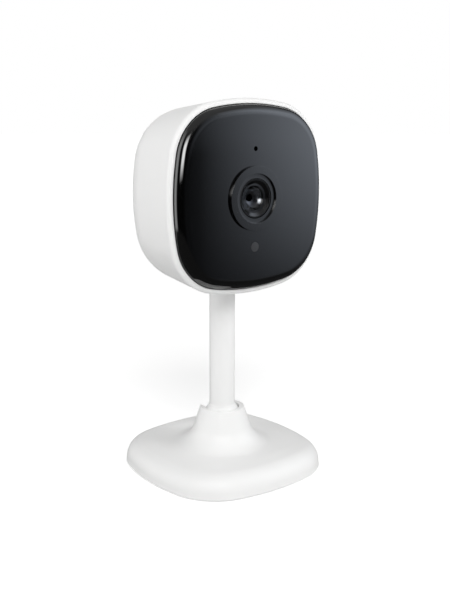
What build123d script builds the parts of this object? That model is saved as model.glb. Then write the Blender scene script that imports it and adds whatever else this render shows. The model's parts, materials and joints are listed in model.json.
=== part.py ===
from build123d import *
import os
from math import atan2, cos, degrees, radians, sin, sqrt, tan

# Small indoor security camera on a ball-jointed stand. Millimetres, +Z up, the lens looks along -Y,
# and the origin is under the middle of the base.

# Outline of the head: four bowed sides with round corners
panel_half = 24.8
panel_side_radius = 67.5
panel_corner_radius = 14.45
rim_lip = 1.65

# Height and depth of the head, with depths measured from the stem's axis
total_height = 106.3
panel_face_y = -14.85
panel_rise = 2.42
panel_edge_round = 2.9
panel_thickness = 2.0
panel_skirt = 1.6
panel_seat_depth = 2.0
panel_ledge = 1.1
panel_ledge_thickness = 1.5
shell_depth = 32.8
shell_wall = 2.0
shell_draft = 1.65
dome_radius = 18.0
dome_steps = 6
side_steps = 4
rim_round = 1.2

# Lens ring and the lens behind it
ring_radius = 8.7
ring_rise = 1.3
ring_edge_round = 0.3
ring_step_radius = 6.6
ring_step_depth = 1.0
ring_neck_radius = 7.6
ring_neck_length = 2.8
lens_opening_radius = 5.4
barrel_setback = 0.15
barrel_front_length = 4.0
barrel_length = 13.8
thread_radius = 6.0
retainer_radius = 4.9
retainer_length = 2.0
retainer_mouth_radius = 4.6
retainer_throat_radius = 3.25
front_lens_radius = 4.2
front_lens_length = 2.8
front_lens_bulge = 0.9
light_tunnel_radius = 2.6
rear_lens_radius = 3.0
rear_lens_length = 2.4
rear_lens_bulge = 0.6
lock_ring_radius = 7.6
lock_ring_length = 1.5
lock_ring_notch = 1.4

# Small things in the panel's face, above and below the lens
face_spot_height = 13.15
mic_hole_radius = 0.65
window_radius = 1.35
window_flange_radius = 2.3
window_flange_length = 0.8
window_pipe_radius = 1.0
window_recess = 0.2

# Light board behind the panel
led_space = 3.85
led_board_radius = 18.5
led_board_hole_radius = 9.2
led_board_thickness = 1.0
led_circle_radius = 13.9
led_angles = (0, 40, 140, 180, 220, 320)
led_width = 2.8
led_height = 3.5
led_body_length = 1.2
led_lens_radius = 1.2
led_lens_length = 0.8
mic_radius = 2.0
mic_length = 1.5
mic_boot_wall = 0.6
status_light_side = 1.6
status_light_length = 0.8

# Inner frame, its posts and the main board
frame_thickness = 1.6
frame_hole_radius = 8.2
head_screw_inset = 9.3
head_boss_radius = 2.6
post_side_edge = 3.0
post_top_edge = 2.5
post_radius = 2.2
post_length = 10.4
main_board_width = 38.0
main_board_height = 24.0
main_board_thickness = 1.2
ribbon_width = 8.0
ribbon_thickness = 0.4
ribbon_height = 11.0
sensor_side = 7.0
sensor_length = 1.0
processor_side = 11.0
processor_length = 1.2
sink_side = 14.0
sink_base = 1.5
sink_fin_length = 2.6
sink_fin_thickness = 1.0
sink_fin_count = 5
shield_gap = 1.0
shield_height = 11.0
shield_length = 2.0
shield_edge = 1.0
antenna_width = 8.0
antenna_height = 3.0
antenna_length = 1.0
antenna_edge = 2.0

# Lens holder with the sliding day and night filter
holder_width = 24.0
holder_height = 14.0
holder_block_length = 4.8
holder_tube_wall = 1.45
sensor_room = 10.0
filter_slot_front = 1.0
filter_slot_length = 1.4
filter_slot_height = 9.4
filter_travel = 6.5
filter_frame_height = 9.0
filter_frame_length = 1.0
filter_pane_width = 5.2
filter_pane_height = 7.0
filter_pane_length = 0.6
coil_radius = 2.0
coil_length = 9.0

# Speaker, power socket and reset button in the back of the head
speaker_height = 1.5
speaker_radius = 7.0
speaker_length = 4.0
magnet_radius = 4.5
magnet_length = 2.2
speaker_rib = 1.2
sound_hole_radius = 0.55
sound_ring_radii = (2.2, 4.4)
sound_ring_counts = (6, 12)
socket_drop = 14.5
socket_width = 9.0
socket_height = 3.2
socket_length = 7.4
socket_wall = 0.35
socket_tongue = 0.7
socket_recess = 3.3
socket_gap = 0.3
socket_board_thickness = 1.0
socket_board_half_width = 7.0
socket_board_recess = 13.6
socket_board_length = 7.6
switch_x = 9.0
switch_side = 4.0
switch_length = 2.6
switch_pin_radius = 0.8
switch_pin_length = 0.4
switch_board_length = 5.4
button_radius = 1.4
button_flange_radius = 2.1
button_flange_length = 0.8
button_flange_recess = 6.9
button_proud = 0.35
button_travel = 0.5
board_rail_spot = 5.0
board_rail_thickness = 1.6

# Stem and how the head holds its top
stem_radius = 3.7
stem_bore_radius = 2.4
stem_flange_radius = 5.4
stem_flange_length = 2.0
stem_pad_height = 3.4
stem_pad_width = 21.0
stem_pad_depth = 11.6
clamp_thickness = 1.6
clamp_screw_spot = 8.0

# Base with its flared neck
foot_drop = 0.3
base_half = 26.2
base_side_radius = 56.0
base_corner_radius = 16.0
base_height = 6.7
base_draft = 6.0
base_shoulder_drop = 0.65
base_shoulder_width = 8.0
base_edge_round = 5.0
base_wall = 2.0
collar_height = 17.6
collar_radius = 6.5
collar_mouth_radius = 5.0
neck_draft = 17.4
neck_foot_round = 6.8

# Ball joint in the neck, with the slot behind it that the stem folds back into
ball_radius = 5.5
ball_depth = 3.4
tilt_back = 80.0
slot_half_width = 4.5
stud_length = 12.0
cup_height = 3.6
cup_reach = 3.9
washer_hole_radius = 2.2
washer_thickness = 0.5
washer_cone = 0.7
retainer_plate_radius = 10.5
retainer_plate_thickness = 1.6
retainer_hole_radius = 2.5
retainer_screw_circle = 8.2
retainer_screw_count = 3

# Underside of the base
plate_thickness = 2.2
plate_screw_sink = 1.3
ballast_side_gap = 2.4
ballast_hole_radius = 11.2
base_screw_inset = 12.2
base_boss_radius = 3.0
foot_thickness = 1.0
foot_border = 3.0
foot_width = 3.0

# Screws: small ones in the head and the base
screw_radius = 0.95
screw_head_radius = 1.9
screw_head_length = 1.2
screw_slot_width = 0.5
screw_slot_depth = 0.6
head_screw_length = 7.0
board_screw_length = 5.0
clamp_screw_length = 3.6
base_screw_length = 3.4
retainer_screw_length = 4.4

# Clearances
panel_gap = 0.1
fit_gap = 0.05
ball_gap = 0.12
frame_gap = 0.3
screw_gap = 0.05
lid_gap = 0.15
sink_air = 0.6

# Places worked out from the sizes above
shell_half = panel_half + rim_lip
head_z = total_height - shell_half
head_bottom_z = head_z - shell_half
rim_y = panel_face_y + panel_rise
seat_y = rim_y + panel_seat_depth
back_y = rim_y + shell_depth
panel_back_y = panel_face_y + panel_thickness
dome_start_y = back_y - dome_radius
dome_half = shell_half - shell_draft
ring_front_y = panel_face_y - ring_rise
ring_step_y = ring_front_y + ring_step_depth
ring_back_y = panel_face_y + ring_neck_length
led_front_y = panel_back_y + led_space
frame_front_y = led_front_y + led_board_thickness
frame_back_y = frame_front_y + frame_thickness
main_front_y = frame_back_y + post_length
main_back_y = main_front_y + main_board_thickness
barrel_front_y = ring_step_y + barrel_setback
barrel_step_y = barrel_front_y + barrel_front_length
barrel_back_y = barrel_front_y + barrel_length
barrel_front_radius = lens_opening_radius - panel_gap
lens_seat_y = barrel_front_y + retainer_length
lens_back_y = lens_seat_y + front_lens_length
rear_lens_front_y = barrel_back_y - rear_lens_length
holder_front_y = main_front_y - holder_block_length
lock_front_y = barrel_step_y
tube_front_y = lock_front_y + lock_ring_length
tube_radius = thread_radius + fit_gap + holder_tube_wall
slot_front_y = holder_front_y + filter_slot_front
slot_back_y = slot_front_y + filter_slot_length
filter_y = slot_front_y + (filter_slot_length - filter_frame_length) / 2
filter_frame_width = 2 * filter_travel
filter_slot_width = filter_frame_width + filter_travel + 2 * fit_gap + 2 * frame_gap
screw_hole_radius = screw_radius + screw_gap
skirt_z = foot_drop
base_top_z = skirt_z + base_height
ball_z = collar_height - ball_depth
seat_radius = ball_radius + ball_gap
seat_lip_height = sqrt(seat_radius**2 - collar_mouth_radius**2)
base_roof_z = base_top_z - base_wall
base_shoulder_z = base_top_z - base_shoulder_drop
neck_foot_radius = collar_radius + (collar_height - base_top_z) * tan(radians(neck_draft))
plate_top_z = skirt_z + plate_thickness
cup_top_z = ball_z - cup_reach
cup_bottom_z = cup_top_z - cup_height
socket_plate_z = cup_bottom_z - washer_thickness - washer_cone
base_screw_z = skirt_z + plate_screw_sink
stem_pad_z = head_bottom_z + shell_wall + stem_pad_height
stem_top_z = stem_pad_z + stem_flange_length
socket_z = head_z - socket_drop
socket_mouth_y = back_y - socket_recess
button_flange_y = back_y - button_flange_recess
socket_board_z = socket_z - socket_height / 2
socket_board_front_y = back_y - socket_board_recess
socket_board_back_y = socket_board_front_y + socket_board_length
rail_front_y = stem_pad_depth / 2 + frame_gap
speaker_front_y = back_y - shell_wall - speaker_length - frame_gap
speaker_ring_radius = speaker_radius + fit_gap + speaker_rib
head_screw_spot = panel_half - head_screw_inset
post_x = main_board_width / 2 - post_side_edge
post_z = main_board_height / 2 - post_top_edge
shield_width = main_board_width / 2 - sink_side / 2 - shield_gap - shield_edge
shield_x = shield_edge + shield_width / 2 - main_board_width / 2
antenna_x = main_board_width / 2 - antenna_width / 2 - antenna_edge
base_screw_spot = base_half - base_screw_inset


def pillow(half, side_radius, corner_radius):
    """Flat face with four bowed sides and four round corners, tangent to each other."""
    side_centre = half - side_radius
    corner_centre = (side_centre + sqrt(2 * (side_radius - corner_radius) ** 2 - side_centre**2)) / 2
    side_turn = degrees(atan2(corner_centre, corner_centre - side_centre))
    corner_reach = corner_centre * sqrt(2)
    with BuildSketch(Plane.XY, mode=Mode.PRIVATE) as face:
        with BuildLine():
            for quarter in range(4):
                turn = 90 * quarter
                side = Vector(side_centre, 0).rotate(Axis.Z, turn)
                corner = Vector(corner_reach, 0).rotate(Axis.Z, turn + 45)
                CenterArc(side, side_radius, turn - side_turn, 2 * side_turn)
                CenterArc(corner, corner_radius, turn + side_turn, 90 - 2 * side_turn)
        make_face()
    return face.sketch


def panel_outline(growth):
    """Outline of the front panel, grown outwards all round."""
    return pillow(panel_half + growth, panel_side_radius + growth, panel_corner_radius + growth)


def shell_outline(half):
    """Outline of the head's shell, scaled to a half-width."""
    scale = half / shell_half
    return pillow(half, (panel_side_radius + rim_lip) * scale, (panel_corner_radius + rim_lip) * scale)


def base_outline(inset):
    """Outline of the base, drawn in all round."""
    return pillow(base_half - inset, base_side_radius - inset, base_corner_radius - inset)


def base_body(wall):
    """Low drafted pillow with a sloping shoulder and a rounded edge, drawn in by a wall except below."""
    shoulder_z = base_shoulder_z - wall
    shoulder_inset = wall + (shoulder_z - skirt_z) * tan(radians(base_draft))
    sections = [
        (skirt_z, wall),
        (shoulder_z, shoulder_inset),
        (base_top_z - wall, base_shoulder_width),
    ]
    with BuildPart() as body:
        for height, inset in sections:
            with BuildSketch(Plane.XY.offset(height)):
                add(base_outline(inset))
        loft(ruled=True)
        fillet(body.edges().filter_by_position(Axis.Z, shoulder_z, shoulder_z), base_edge_round - wall)
    return body.part


def head_plane(y):
    """Upright plane across the head, seen from the front."""
    return Plane(origin=(0, y, head_z), x_dir=(1, 0, 0), z_dir=(0, -1, 0))


def shell_half_at(y):
    """Half-width of the shell's straight front part at a depth."""
    return shell_half - shell_draft * (y - rim_y) / (dome_start_y - rim_y)


def shell_sections(inset):
    """Depth and half-width of the shell's cross sections, drawn in by a wall."""
    radius = dome_radius - inset
    sections = []
    for step in range(side_steps):
        depth = rim_y + (dome_start_y - rim_y) * step / side_steps
        sections.append((depth, shell_half_at(depth) - inset))
    for step in range(dome_steps + 1):
        turn = radians(90 * step / dome_steps)
        depth = back_y - inset - radius * (1 - sin(turn))
        half = dome_half - inset - radius * (1 - cos(turn))
        sections.append((depth, half))
    return sections


def head_body(inset):
    """Solid of the head's outer form without its panel, drawn in all round."""
    with BuildPart() as body:
        for depth, half in shell_sections(inset):
            with BuildSketch(head_plane(depth)):
                add(shell_outline(half))
        loft()
    return body.part


def screws(plane, spots, length):
    """Pan-head screws with a cross slot, heads outside the plane and shanks behind it."""
    with BuildPart() as group:
        with BuildSketch(plane):
            with Locations(*spots):
                Circle(screw_head_radius)
        extrude(amount=screw_head_length)
        with BuildSketch(plane):
            with Locations(*spots):
                Circle(screw_radius)
        extrude(amount=-length)
        with BuildSketch(plane.offset(screw_head_length)):
            with Locations(*spots):
                Rectangle(2 * screw_radius, screw_slot_width)
                Rectangle(screw_slot_width, 2 * screw_radius)
        extrude(amount=-screw_slot_depth, mode=Mode.SUBTRACT)
    return group


def corners(x, y):
    """The four corner points of a rectangle about the middle."""
    return [(x, y), (-x, y), (-x, -y), (x, -y)]


lens_plane = Plane.XY.offset(head_z)
lens_axis = Axis((0, 0, head_z), (0, 1, 0))
head_screw_spots = corners(head_screw_spot, head_screw_spot)
post_spots = corners(post_x, post_z)
clamp_spots = [(clamp_screw_spot, 0), (-clamp_screw_spot, 0)]
base_screw_spots = corners(base_screw_spot, base_screw_spot)
retainer_spots = [
    (
        retainer_screw_circle * sin(radians(360 * count / retainer_screw_count)),
        -retainer_screw_circle * cos(radians(360 * count / retainer_screw_count)),
    )
    for count in range(retainer_screw_count)
]

# Glossy black front panel: a shallow dish with a rounded edge
with BuildPart() as front_panel:
    with BuildSketch(head_plane(seat_y)):
        add(panel_outline(0))
    extrude(amount=seat_y - panel_face_y)
    fillet(front_panel.edges().group_by(Axis.Y)[0], panel_edge_round)
    with BuildSketch(head_plane(seat_y)):
        add(panel_outline(-panel_skirt))
    extrude(amount=seat_y - panel_back_y, mode=Mode.SUBTRACT)
    with BuildSketch(head_plane(panel_face_y)):
        Circle(ring_neck_radius + panel_gap)
        with Locations((0, face_spot_height)):
            Circle(mic_hole_radius)
        with Locations((0, -face_spot_height)):
            Circle(window_radius + fit_gap)
    extrude(amount=-panel_thickness, mode=Mode.SUBTRACT)

# Raised ring around the lens, with a step down to its opening
with BuildPart() as lens_ring:
    with BuildSketch(lens_plane):
        with BuildLine():
            Polyline(
                (lens_opening_radius, ring_step_y),
                (ring_step_radius, ring_step_y),
                (ring_step_radius, ring_front_y),
                (ring_radius, ring_front_y),
                (ring_radius, panel_face_y),
                (ring_neck_radius, panel_face_y),
                (ring_neck_radius, ring_back_y),
                (lens_opening_radius, ring_back_y),
                close=True,
            )
        make_face()
    revolve(axis=lens_axis)
    fillet(lens_ring.edges().group_by(Axis.Y)[0], ring_edge_round)

# Lens barrel, threaded at the back
with BuildPart() as lens_barrel:
    with BuildSketch(lens_plane):
        with BuildLine():
            Polyline(
                (retainer_radius + fit_gap, barrel_front_y),
                (barrel_front_radius, barrel_front_y),
                (barrel_front_radius, barrel_step_y),
                (thread_radius, barrel_step_y),
                (thread_radius, barrel_back_y),
                (rear_lens_radius + fit_gap, barrel_back_y),
                (rear_lens_radius + fit_gap, rear_lens_front_y),
                (light_tunnel_radius, rear_lens_front_y),
                (light_tunnel_radius, lens_back_y),
                (front_lens_radius + fit_gap, lens_back_y),
                (front_lens_radius + fit_gap, lens_seat_y),
                (retainer_radius + fit_gap, lens_seat_y),
                close=True,
            )
        make_face()
    revolve(axis=lens_axis)

# Conical ring that holds the front lens in the barrel
with BuildPart() as lens_retainer:
    with BuildSketch(lens_plane):
        with BuildLine():
            Polyline(
                (retainer_mouth_radius, barrel_front_y),
                (retainer_radius, barrel_front_y),
                (retainer_radius, lens_seat_y),
                (retainer_throat_radius, lens_seat_y),
                close=True,
            )
        make_face()
    revolve(axis=lens_axis)

# Front glass, domed towards the scene, seated behind the retainer
front_lens_sphere = (front_lens_radius**2 + front_lens_bulge**2) / (2 * front_lens_bulge)
front_lens_edge_sag = front_lens_sphere - sqrt(front_lens_sphere**2 - retainer_throat_radius**2)
front_lens_apex_y = lens_seat_y + fit_gap - front_lens_edge_sag
with BuildPart() as front_lens:
    with BuildSketch(lens_plane):
        with BuildLine():
            RadiusArc(
                (0, front_lens_apex_y),
                (front_lens_radius, front_lens_apex_y + front_lens_bulge),
                front_lens_sphere,
            )
            Polyline(
                (front_lens_radius, front_lens_apex_y + front_lens_bulge),
                (front_lens_radius, lens_back_y),
                (0, lens_back_y),
                (0, front_lens_apex_y),
            )
        make_face()
    revolve(axis=lens_axis)

# Rear glass, domed towards the image sensor
rear_lens_sphere = (rear_lens_radius**2 + rear_lens_bulge**2) / (2 * rear_lens_bulge)
with BuildPart() as rear_lens:
    with BuildSketch(lens_plane):
        with BuildLine():
            RadiusArc(
                (rear_lens_radius, barrel_back_y - rear_lens_bulge),
                (0, barrel_back_y),
                -rear_lens_sphere,
            )
            Polyline(
                (0, barrel_back_y),
                (0, rear_lens_front_y),
                (rear_lens_radius, rear_lens_front_y),
                (rear_lens_radius, barrel_back_y - rear_lens_bulge),
            )
        make_face()
    revolve(axis=lens_axis)

# Notched ring nut that locks the lens's focus
with BuildPart() as lens_lock_ring:
    with BuildSketch(head_plane(lock_front_y)):
        Circle(lock_ring_radius)
        Circle(thread_radius + fit_gap, mode=Mode.SUBTRACT)
        with PolarLocations(lock_ring_radius, 4):
            Rectangle(lock_ring_notch, lock_ring_notch, mode=Mode.SUBTRACT)
    extrude(amount=-lock_ring_length)

# Lens holder: a tube on a block, with the filter's slot and room for the sensor
with BuildPart() as lens_holder:
    with BuildSketch(head_plane(holder_front_y)):
        Rectangle(holder_width, holder_height)
    extrude(amount=-holder_block_length)
    with BuildSketch(head_plane(holder_front_y)):
        Circle(tube_radius)
    extrude(amount=holder_front_y - tube_front_y)
    with BuildSketch(head_plane(tube_front_y)):
        Circle(thread_radius + fit_gap)
    extrude(amount=tube_front_y - holder_front_y, mode=Mode.SUBTRACT)
    with BuildSketch(head_plane(holder_front_y)):
        Circle(light_tunnel_radius)
    extrude(amount=-filter_slot_front, mode=Mode.SUBTRACT)
    with BuildSketch(head_plane(slot_front_y)):
        Rectangle(filter_slot_width, filter_slot_height)
    extrude(amount=-filter_slot_length, mode=Mode.SUBTRACT)
    with BuildSketch(head_plane(slot_back_y)):
        Rectangle(sensor_room, sensor_room)
    extrude(amount=slot_back_y - main_front_y, mode=Mode.SUBTRACT)

# Sliding frame with two window places, the day filter in front of the sensor at rest
with BuildPart() as filter_frame:
    with BuildSketch(head_plane(filter_y)):
        with Locations((-filter_travel / 2, 0)):
            Rectangle(filter_frame_width, filter_frame_height)
            with GridLocations(filter_travel, 0, 2, 1):
                Rectangle(filter_pane_width, filter_pane_height, mode=Mode.SUBTRACT)
    extrude(amount=-filter_frame_length)

with BuildPart() as day_filter:
    with BuildSketch(head_plane(filter_y)):
        Rectangle(filter_pane_width - 2 * fit_gap, filter_pane_height - 2 * fit_gap)
    extrude(amount=-filter_pane_length)

with BuildPart() as night_window:
    with BuildSketch(head_plane(filter_y)):
        with Locations((-filter_travel, 0)):
            Rectangle(filter_pane_width - 2 * fit_gap, filter_pane_height - 2 * fit_gap)
    extrude(amount=-filter_pane_length)

# Coil that moves the filter, lying along the underside of the holder
with BuildPart() as filter_coil:
    with BuildSketch(Plane.YZ.offset(-coil_length / 2)):
        with Locations((holder_front_y + holder_block_length / 2, head_z - holder_height / 2 - coil_radius)):
            Circle(coil_radius)
    extrude(amount=coil_length)

# Image sensor on the main board
with BuildPart() as image_sensor:
    with BuildSketch(head_plane(main_front_y)):
        Rectangle(sensor_side, sensor_side)
    extrude(amount=sensor_length)

# Clear grey window of the light sensor, with a light pipe behind it
with BuildPart() as sensor_window:
    with BuildSketch(head_plane(panel_back_y)):
        with Locations((0, -face_spot_height)):
            Circle(window_radius)
    extrude(amount=panel_thickness - window_recess)
    with BuildSketch(head_plane(panel_back_y)):
        with Locations((0, -face_spot_height)):
            Circle(window_flange_radius)
    extrude(amount=-window_flange_length)
    with BuildSketch(head_plane(panel_back_y)):
        with Locations((0, -face_spot_height)):
            Circle(window_pipe_radius)
    extrude(amount=-(led_space - status_light_length - frame_gap))

# Ring-shaped light board
with BuildPart() as led_board:
    with BuildSketch(head_plane(led_front_y)):
        Circle(led_board_radius)
        Circle(led_board_hole_radius, mode=Mode.SUBTRACT)
    extrude(amount=-led_board_thickness)

led_spots = [
    (led_circle_radius * cos(radians(angle)), led_circle_radius * sin(radians(angle)))
    for angle in led_angles
]
with BuildPart() as infrared_lights:
    with BuildSketch(head_plane(led_front_y)):
        with Locations(*led_spots):
            Rectangle(led_width, led_height)
    extrude(amount=led_body_length)
    with BuildSketch(head_plane(led_front_y - led_body_length)):
        with Locations(*led_spots):
            Circle(led_lens_radius)
    extrude(amount=led_lens_length)

with BuildPart() as status_light:
    with BuildSketch(head_plane(led_front_y)):
        with Locations((0, -face_spot_height)):
            Rectangle(status_light_side, status_light_side)
    extrude(amount=status_light_length)

# Microphone and the rubber boot that leads sound to it from the hole in the face
with BuildPart() as microphone:
    with BuildSketch(head_plane(led_front_y)):
        with Locations((0, face_spot_height)):
            Circle(mic_radius)
    extrude(amount=mic_length)

with BuildPart() as microphone_boot:
    with BuildSketch(head_plane(led_front_y)):
        with Locations((0, face_spot_height)):
            Circle(mic_radius + fit_gap + mic_boot_wall)
    extrude(amount=led_space)
    with BuildSketch(head_plane(led_front_y)):
        with Locations((0, face_spot_height)):
            Circle(mic_radius + fit_gap)
    extrude(amount=mic_length + fit_gap, mode=Mode.SUBTRACT)
    with BuildSketch(head_plane(led_front_y)):
        with Locations((0, face_spot_height)):
            Circle(mic_hole_radius)
    extrude(amount=led_space, mode=Mode.SUBTRACT)

# Inner frame that carries both boards
with BuildPart() as inner_frame:
    with BuildSketch(head_plane(frame_front_y)):
        add(shell_outline(shell_half_at(frame_back_y) - shell_wall - frame_gap))
        Circle(frame_hole_radius, mode=Mode.SUBTRACT)
        with Locations((0, ribbon_height)):
            Rectangle(ribbon_width + 2 * frame_gap, ribbon_thickness + 2 * frame_gap, mode=Mode.SUBTRACT)
        with Locations(*head_screw_spots):
            Circle(screw_hole_radius, mode=Mode.SUBTRACT)
    extrude(amount=-frame_thickness)
    with BuildSketch(head_plane(frame_back_y)):
        with Locations(*post_spots):
            Circle(post_radius)
    extrude(amount=-post_length)
    with BuildSketch(head_plane(main_front_y)):
        with Locations(*post_spots):
            Circle(screw_hole_radius)
    extrude(amount=board_screw_length, mode=Mode.SUBTRACT)

# Main board with the processor, its heat sink, the radio and its antenna
with BuildPart() as main_board:
    with BuildSketch(head_plane(main_front_y)):
        Rectangle(main_board_width, main_board_height)
        with Locations(*post_spots):
            Circle(screw_hole_radius, mode=Mode.SUBTRACT)
    extrude(amount=-main_board_thickness)

with BuildPart() as processor:
    with BuildSketch(head_plane(main_back_y)):
        Rectangle(processor_side, processor_side)
    extrude(amount=-processor_length)

sink_y = main_back_y + processor_length
fin_pitch = (sink_side - sink_fin_thickness) / (sink_fin_count - 1)
with BuildPart() as heat_sink:
    with BuildSketch(head_plane(sink_y)):
        Rectangle(sink_side, sink_side)
    extrude(amount=-sink_base)
    with BuildSketch(head_plane(sink_y + sink_base)):
        with GridLocations(fin_pitch, 0, sink_fin_count, 1):
            Rectangle(sink_fin_thickness, sink_side)
    extrude(amount=-sink_fin_length)
    with BuildSketch(head_plane(speaker_front_y - sink_air)):
        with Locations((0, speaker_height)):
            Circle(speaker_ring_radius + sink_air)
    extrude(amount=-speaker_length, mode=Mode.SUBTRACT)
    with BuildSketch(head_plane(speaker_front_y - magnet_length - sink_air)):
        with Locations((0, speaker_height)):
            Circle(magnet_radius + sink_air)
    extrude(amount=-magnet_length, mode=Mode.SUBTRACT)

with BuildPart() as radio_shield:
    with BuildSketch(head_plane(main_back_y)):
        with Locations((shield_x, 0)):
            Rectangle(shield_width, shield_height)
    extrude(amount=-shield_length)

with BuildPart() as antenna:
    with BuildSketch(head_plane(main_back_y)):
        with Locations((antenna_x, 0)):
            Rectangle(antenna_width, antenna_height)
    extrude(amount=-antenna_length)

# Flat ribbon between the two boards, through a slot in the frame
with BuildPart() as board_ribbon:
    with BuildSketch(head_plane(frame_front_y)):
        with Locations((0, ribbon_height)):
            Rectangle(ribbon_width, ribbon_thickness)
    extrude(amount=-(main_front_y - frame_front_y))

head_screws = screws(head_plane(frame_front_y), head_screw_spots, head_screw_length)
board_screws = screws(
    Plane(origin=(0, main_back_y, head_z), x_dir=(-1, 0, 0), z_dir=(0, 1, 0)),
    post_spots,
    board_screw_length,
)

# Ledge, bosses, rails and seats moulded inside the shell, rooted in the middle of its wall
rib_room = head_body(shell_wall / 2)
with BuildPart() as shell_ribs:
    with BuildSketch(head_plane(seat_y)):
        add(shell_outline(shell_half))
        add(panel_outline(-panel_ledge), mode=Mode.SUBTRACT)
    extrude(amount=-panel_ledge_thickness)
    with BuildSketch(head_plane(frame_back_y)):
        with Locations(*head_screw_spots):
            Circle(head_boss_radius)
    extrude(amount=frame_back_y - back_y)
    with BuildSketch(head_plane(speaker_front_y)):
        with Locations((0, speaker_height)):
            Circle(speaker_ring_radius)
            Circle(speaker_radius + fit_gap, mode=Mode.SUBTRACT)
    extrude(amount=speaker_front_y - back_y)
    with BuildSketch(Plane.XY.offset(stem_pad_z)):
        Rectangle(stem_pad_width, stem_pad_depth)
    extrude(amount=head_bottom_z - stem_pad_z)
    with BuildSketch(Plane.XY.offset(socket_board_z - socket_board_thickness)):
        with Locations((0, rail_front_y)):
            with GridLocations(2 * board_rail_spot, 0, 2, 1):
                Rectangle(
                    board_rail_thickness,
                    socket_board_back_y - rail_front_y,
                    align=(Align.CENTER, Align.MIN),
                )
    extrude(amount=head_bottom_z - socket_board_z + socket_board_thickness)
    add(rib_room, mode=Mode.INTERSECT)

# White shell of the head, open at the front, domed at the back
shell_body = head_body(0)
shell_hollow = head_body(shell_wall)
with BuildPart() as rear_shell:
    add(shell_body)
    fillet(rear_shell.edges().group_by(Axis.Y)[0], rim_round)
    add(shell_hollow, mode=Mode.SUBTRACT)
    with BuildSketch(head_plane(rim_y)):
        add(panel_outline(panel_gap))
    extrude(amount=-panel_seat_depth, mode=Mode.SUBTRACT)
    add(shell_ribs.part)
    with BuildSketch(head_plane(frame_back_y)):
        with Locations(*head_screw_spots):
            Circle(screw_hole_radius)
    extrude(amount=-head_screw_length, mode=Mode.SUBTRACT)
    with BuildSketch(Plane.XY.offset(stem_pad_z)):
        Circle(stem_radius + fit_gap)
    extrude(amount=head_bottom_z - stem_pad_z, mode=Mode.SUBTRACT)
    with BuildSketch(Plane.XY.offset(stem_pad_z)):
        with Locations(*clamp_spots):
            Circle(screw_hole_radius)
    extrude(amount=-clamp_screw_length, mode=Mode.SUBTRACT)
    with BuildSketch(head_plane(back_y)):
        with Locations((0, speaker_height)):
            Circle(sound_hole_radius)
            for ring, count in zip(sound_ring_radii, sound_ring_counts):
                with PolarLocations(ring, count):
                    Circle(sound_hole_radius)
    extrude(amount=back_y - speaker_front_y, mode=Mode.SUBTRACT)
    with BuildSketch(head_plane(back_y)):
        with Locations((0, -socket_drop)):
            RectangleRounded(
                socket_width + 2 * socket_gap,
                socket_height + 2 * socket_gap,
                socket_height / 2,
            )
        with Locations((switch_x, -socket_drop)):
            Circle(button_radius + fit_gap)
    extrude(amount=back_y - button_flange_y, mode=Mode.SUBTRACT)

# Speaker, seated in its ring behind the sound holes
with BuildPart() as speaker:
    with BuildSketch(head_plane(speaker_front_y)):
        with Locations((0, speaker_height)):
            Circle(speaker_radius)
    extrude(amount=-speaker_length)
    with BuildSketch(head_plane(speaker_front_y)):
        with Locations((0, speaker_height)):
            Circle(magnet_radius)
    extrude(amount=magnet_length)

# Power socket on its own small board, facing backwards
board_room = head_body(shell_wall + frame_gap)
with BuildPart() as socket_board:
    with BuildSketch(Plane.XY.offset(socket_board_z)):
        with Locations((0, socket_board_front_y)):
            Rectangle(
                2 * socket_board_half_width,
                socket_board_length,
                align=(Align.CENTER, Align.MIN),
            )
        with Locations((0, socket_board_front_y)):
            Rectangle(
                switch_x + switch_side / 2 + fit_gap,
                switch_board_length,
                align=(Align.MIN, Align.MIN),
            )
    extrude(amount=-socket_board_thickness)
    add(board_room, mode=Mode.INTERSECT)

with BuildPart() as power_socket:
    with BuildSketch(Plane(origin=(0, socket_mouth_y, socket_z), x_dir=(1, 0, 0), z_dir=(0, -1, 0))):
        RectangleRounded(socket_width, socket_height, socket_height / 2 - fit_gap)
    extrude(amount=socket_length)
    with BuildSketch(Plane(origin=(0, socket_mouth_y, socket_z), x_dir=(1, 0, 0), z_dir=(0, -1, 0))):
        RectangleRounded(
            socket_width - 2 * socket_wall,
            socket_height - 2 * socket_wall,
            socket_height / 2 - socket_wall - fit_gap,
        )
        Rectangle(socket_width - socket_height, socket_tongue, mode=Mode.SUBTRACT)
    extrude(amount=socket_length - socket_tongue, mode=Mode.SUBTRACT)

# Reset switch on that board, and the button that reaches it through the shell
switch_back_y = socket_board_front_y + switch_board_length
with BuildPart() as reset_switch:
    with BuildSketch(Plane.XY.offset(socket_board_z)):
        with Locations((switch_x, switch_back_y)):
            Rectangle(switch_side, switch_length, align=(Align.CENTER, Align.MAX))
    extrude(amount=socket_height)
    with BuildSketch(Plane(origin=(switch_x, switch_back_y, socket_z), x_dir=(1, 0, 0), z_dir=(0, 1, 0))):
        Circle(switch_pin_radius)
    extrude(amount=switch_pin_length)

button_plane = Plane(origin=(switch_x, button_flange_y, socket_z), x_dir=(1, 0, 0), z_dir=(0, 1, 0))
button_front_y = switch_back_y + switch_pin_length + button_travel + fit_gap
button_reach = head_body(-button_proud)
with BuildPart() as reset_button:
    with BuildSketch(button_plane):
        Circle(button_radius)
    extrude(amount=back_y + button_proud - button_flange_y)
    add(button_reach, mode=Mode.INTERSECT)
    with BuildSketch(button_plane):
        Circle(button_flange_radius)
    extrude(amount=button_flange_length)
    with BuildSketch(button_plane):
        Circle(switch_pin_radius)
    extrude(amount=-(button_flange_y - button_front_y))

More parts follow.
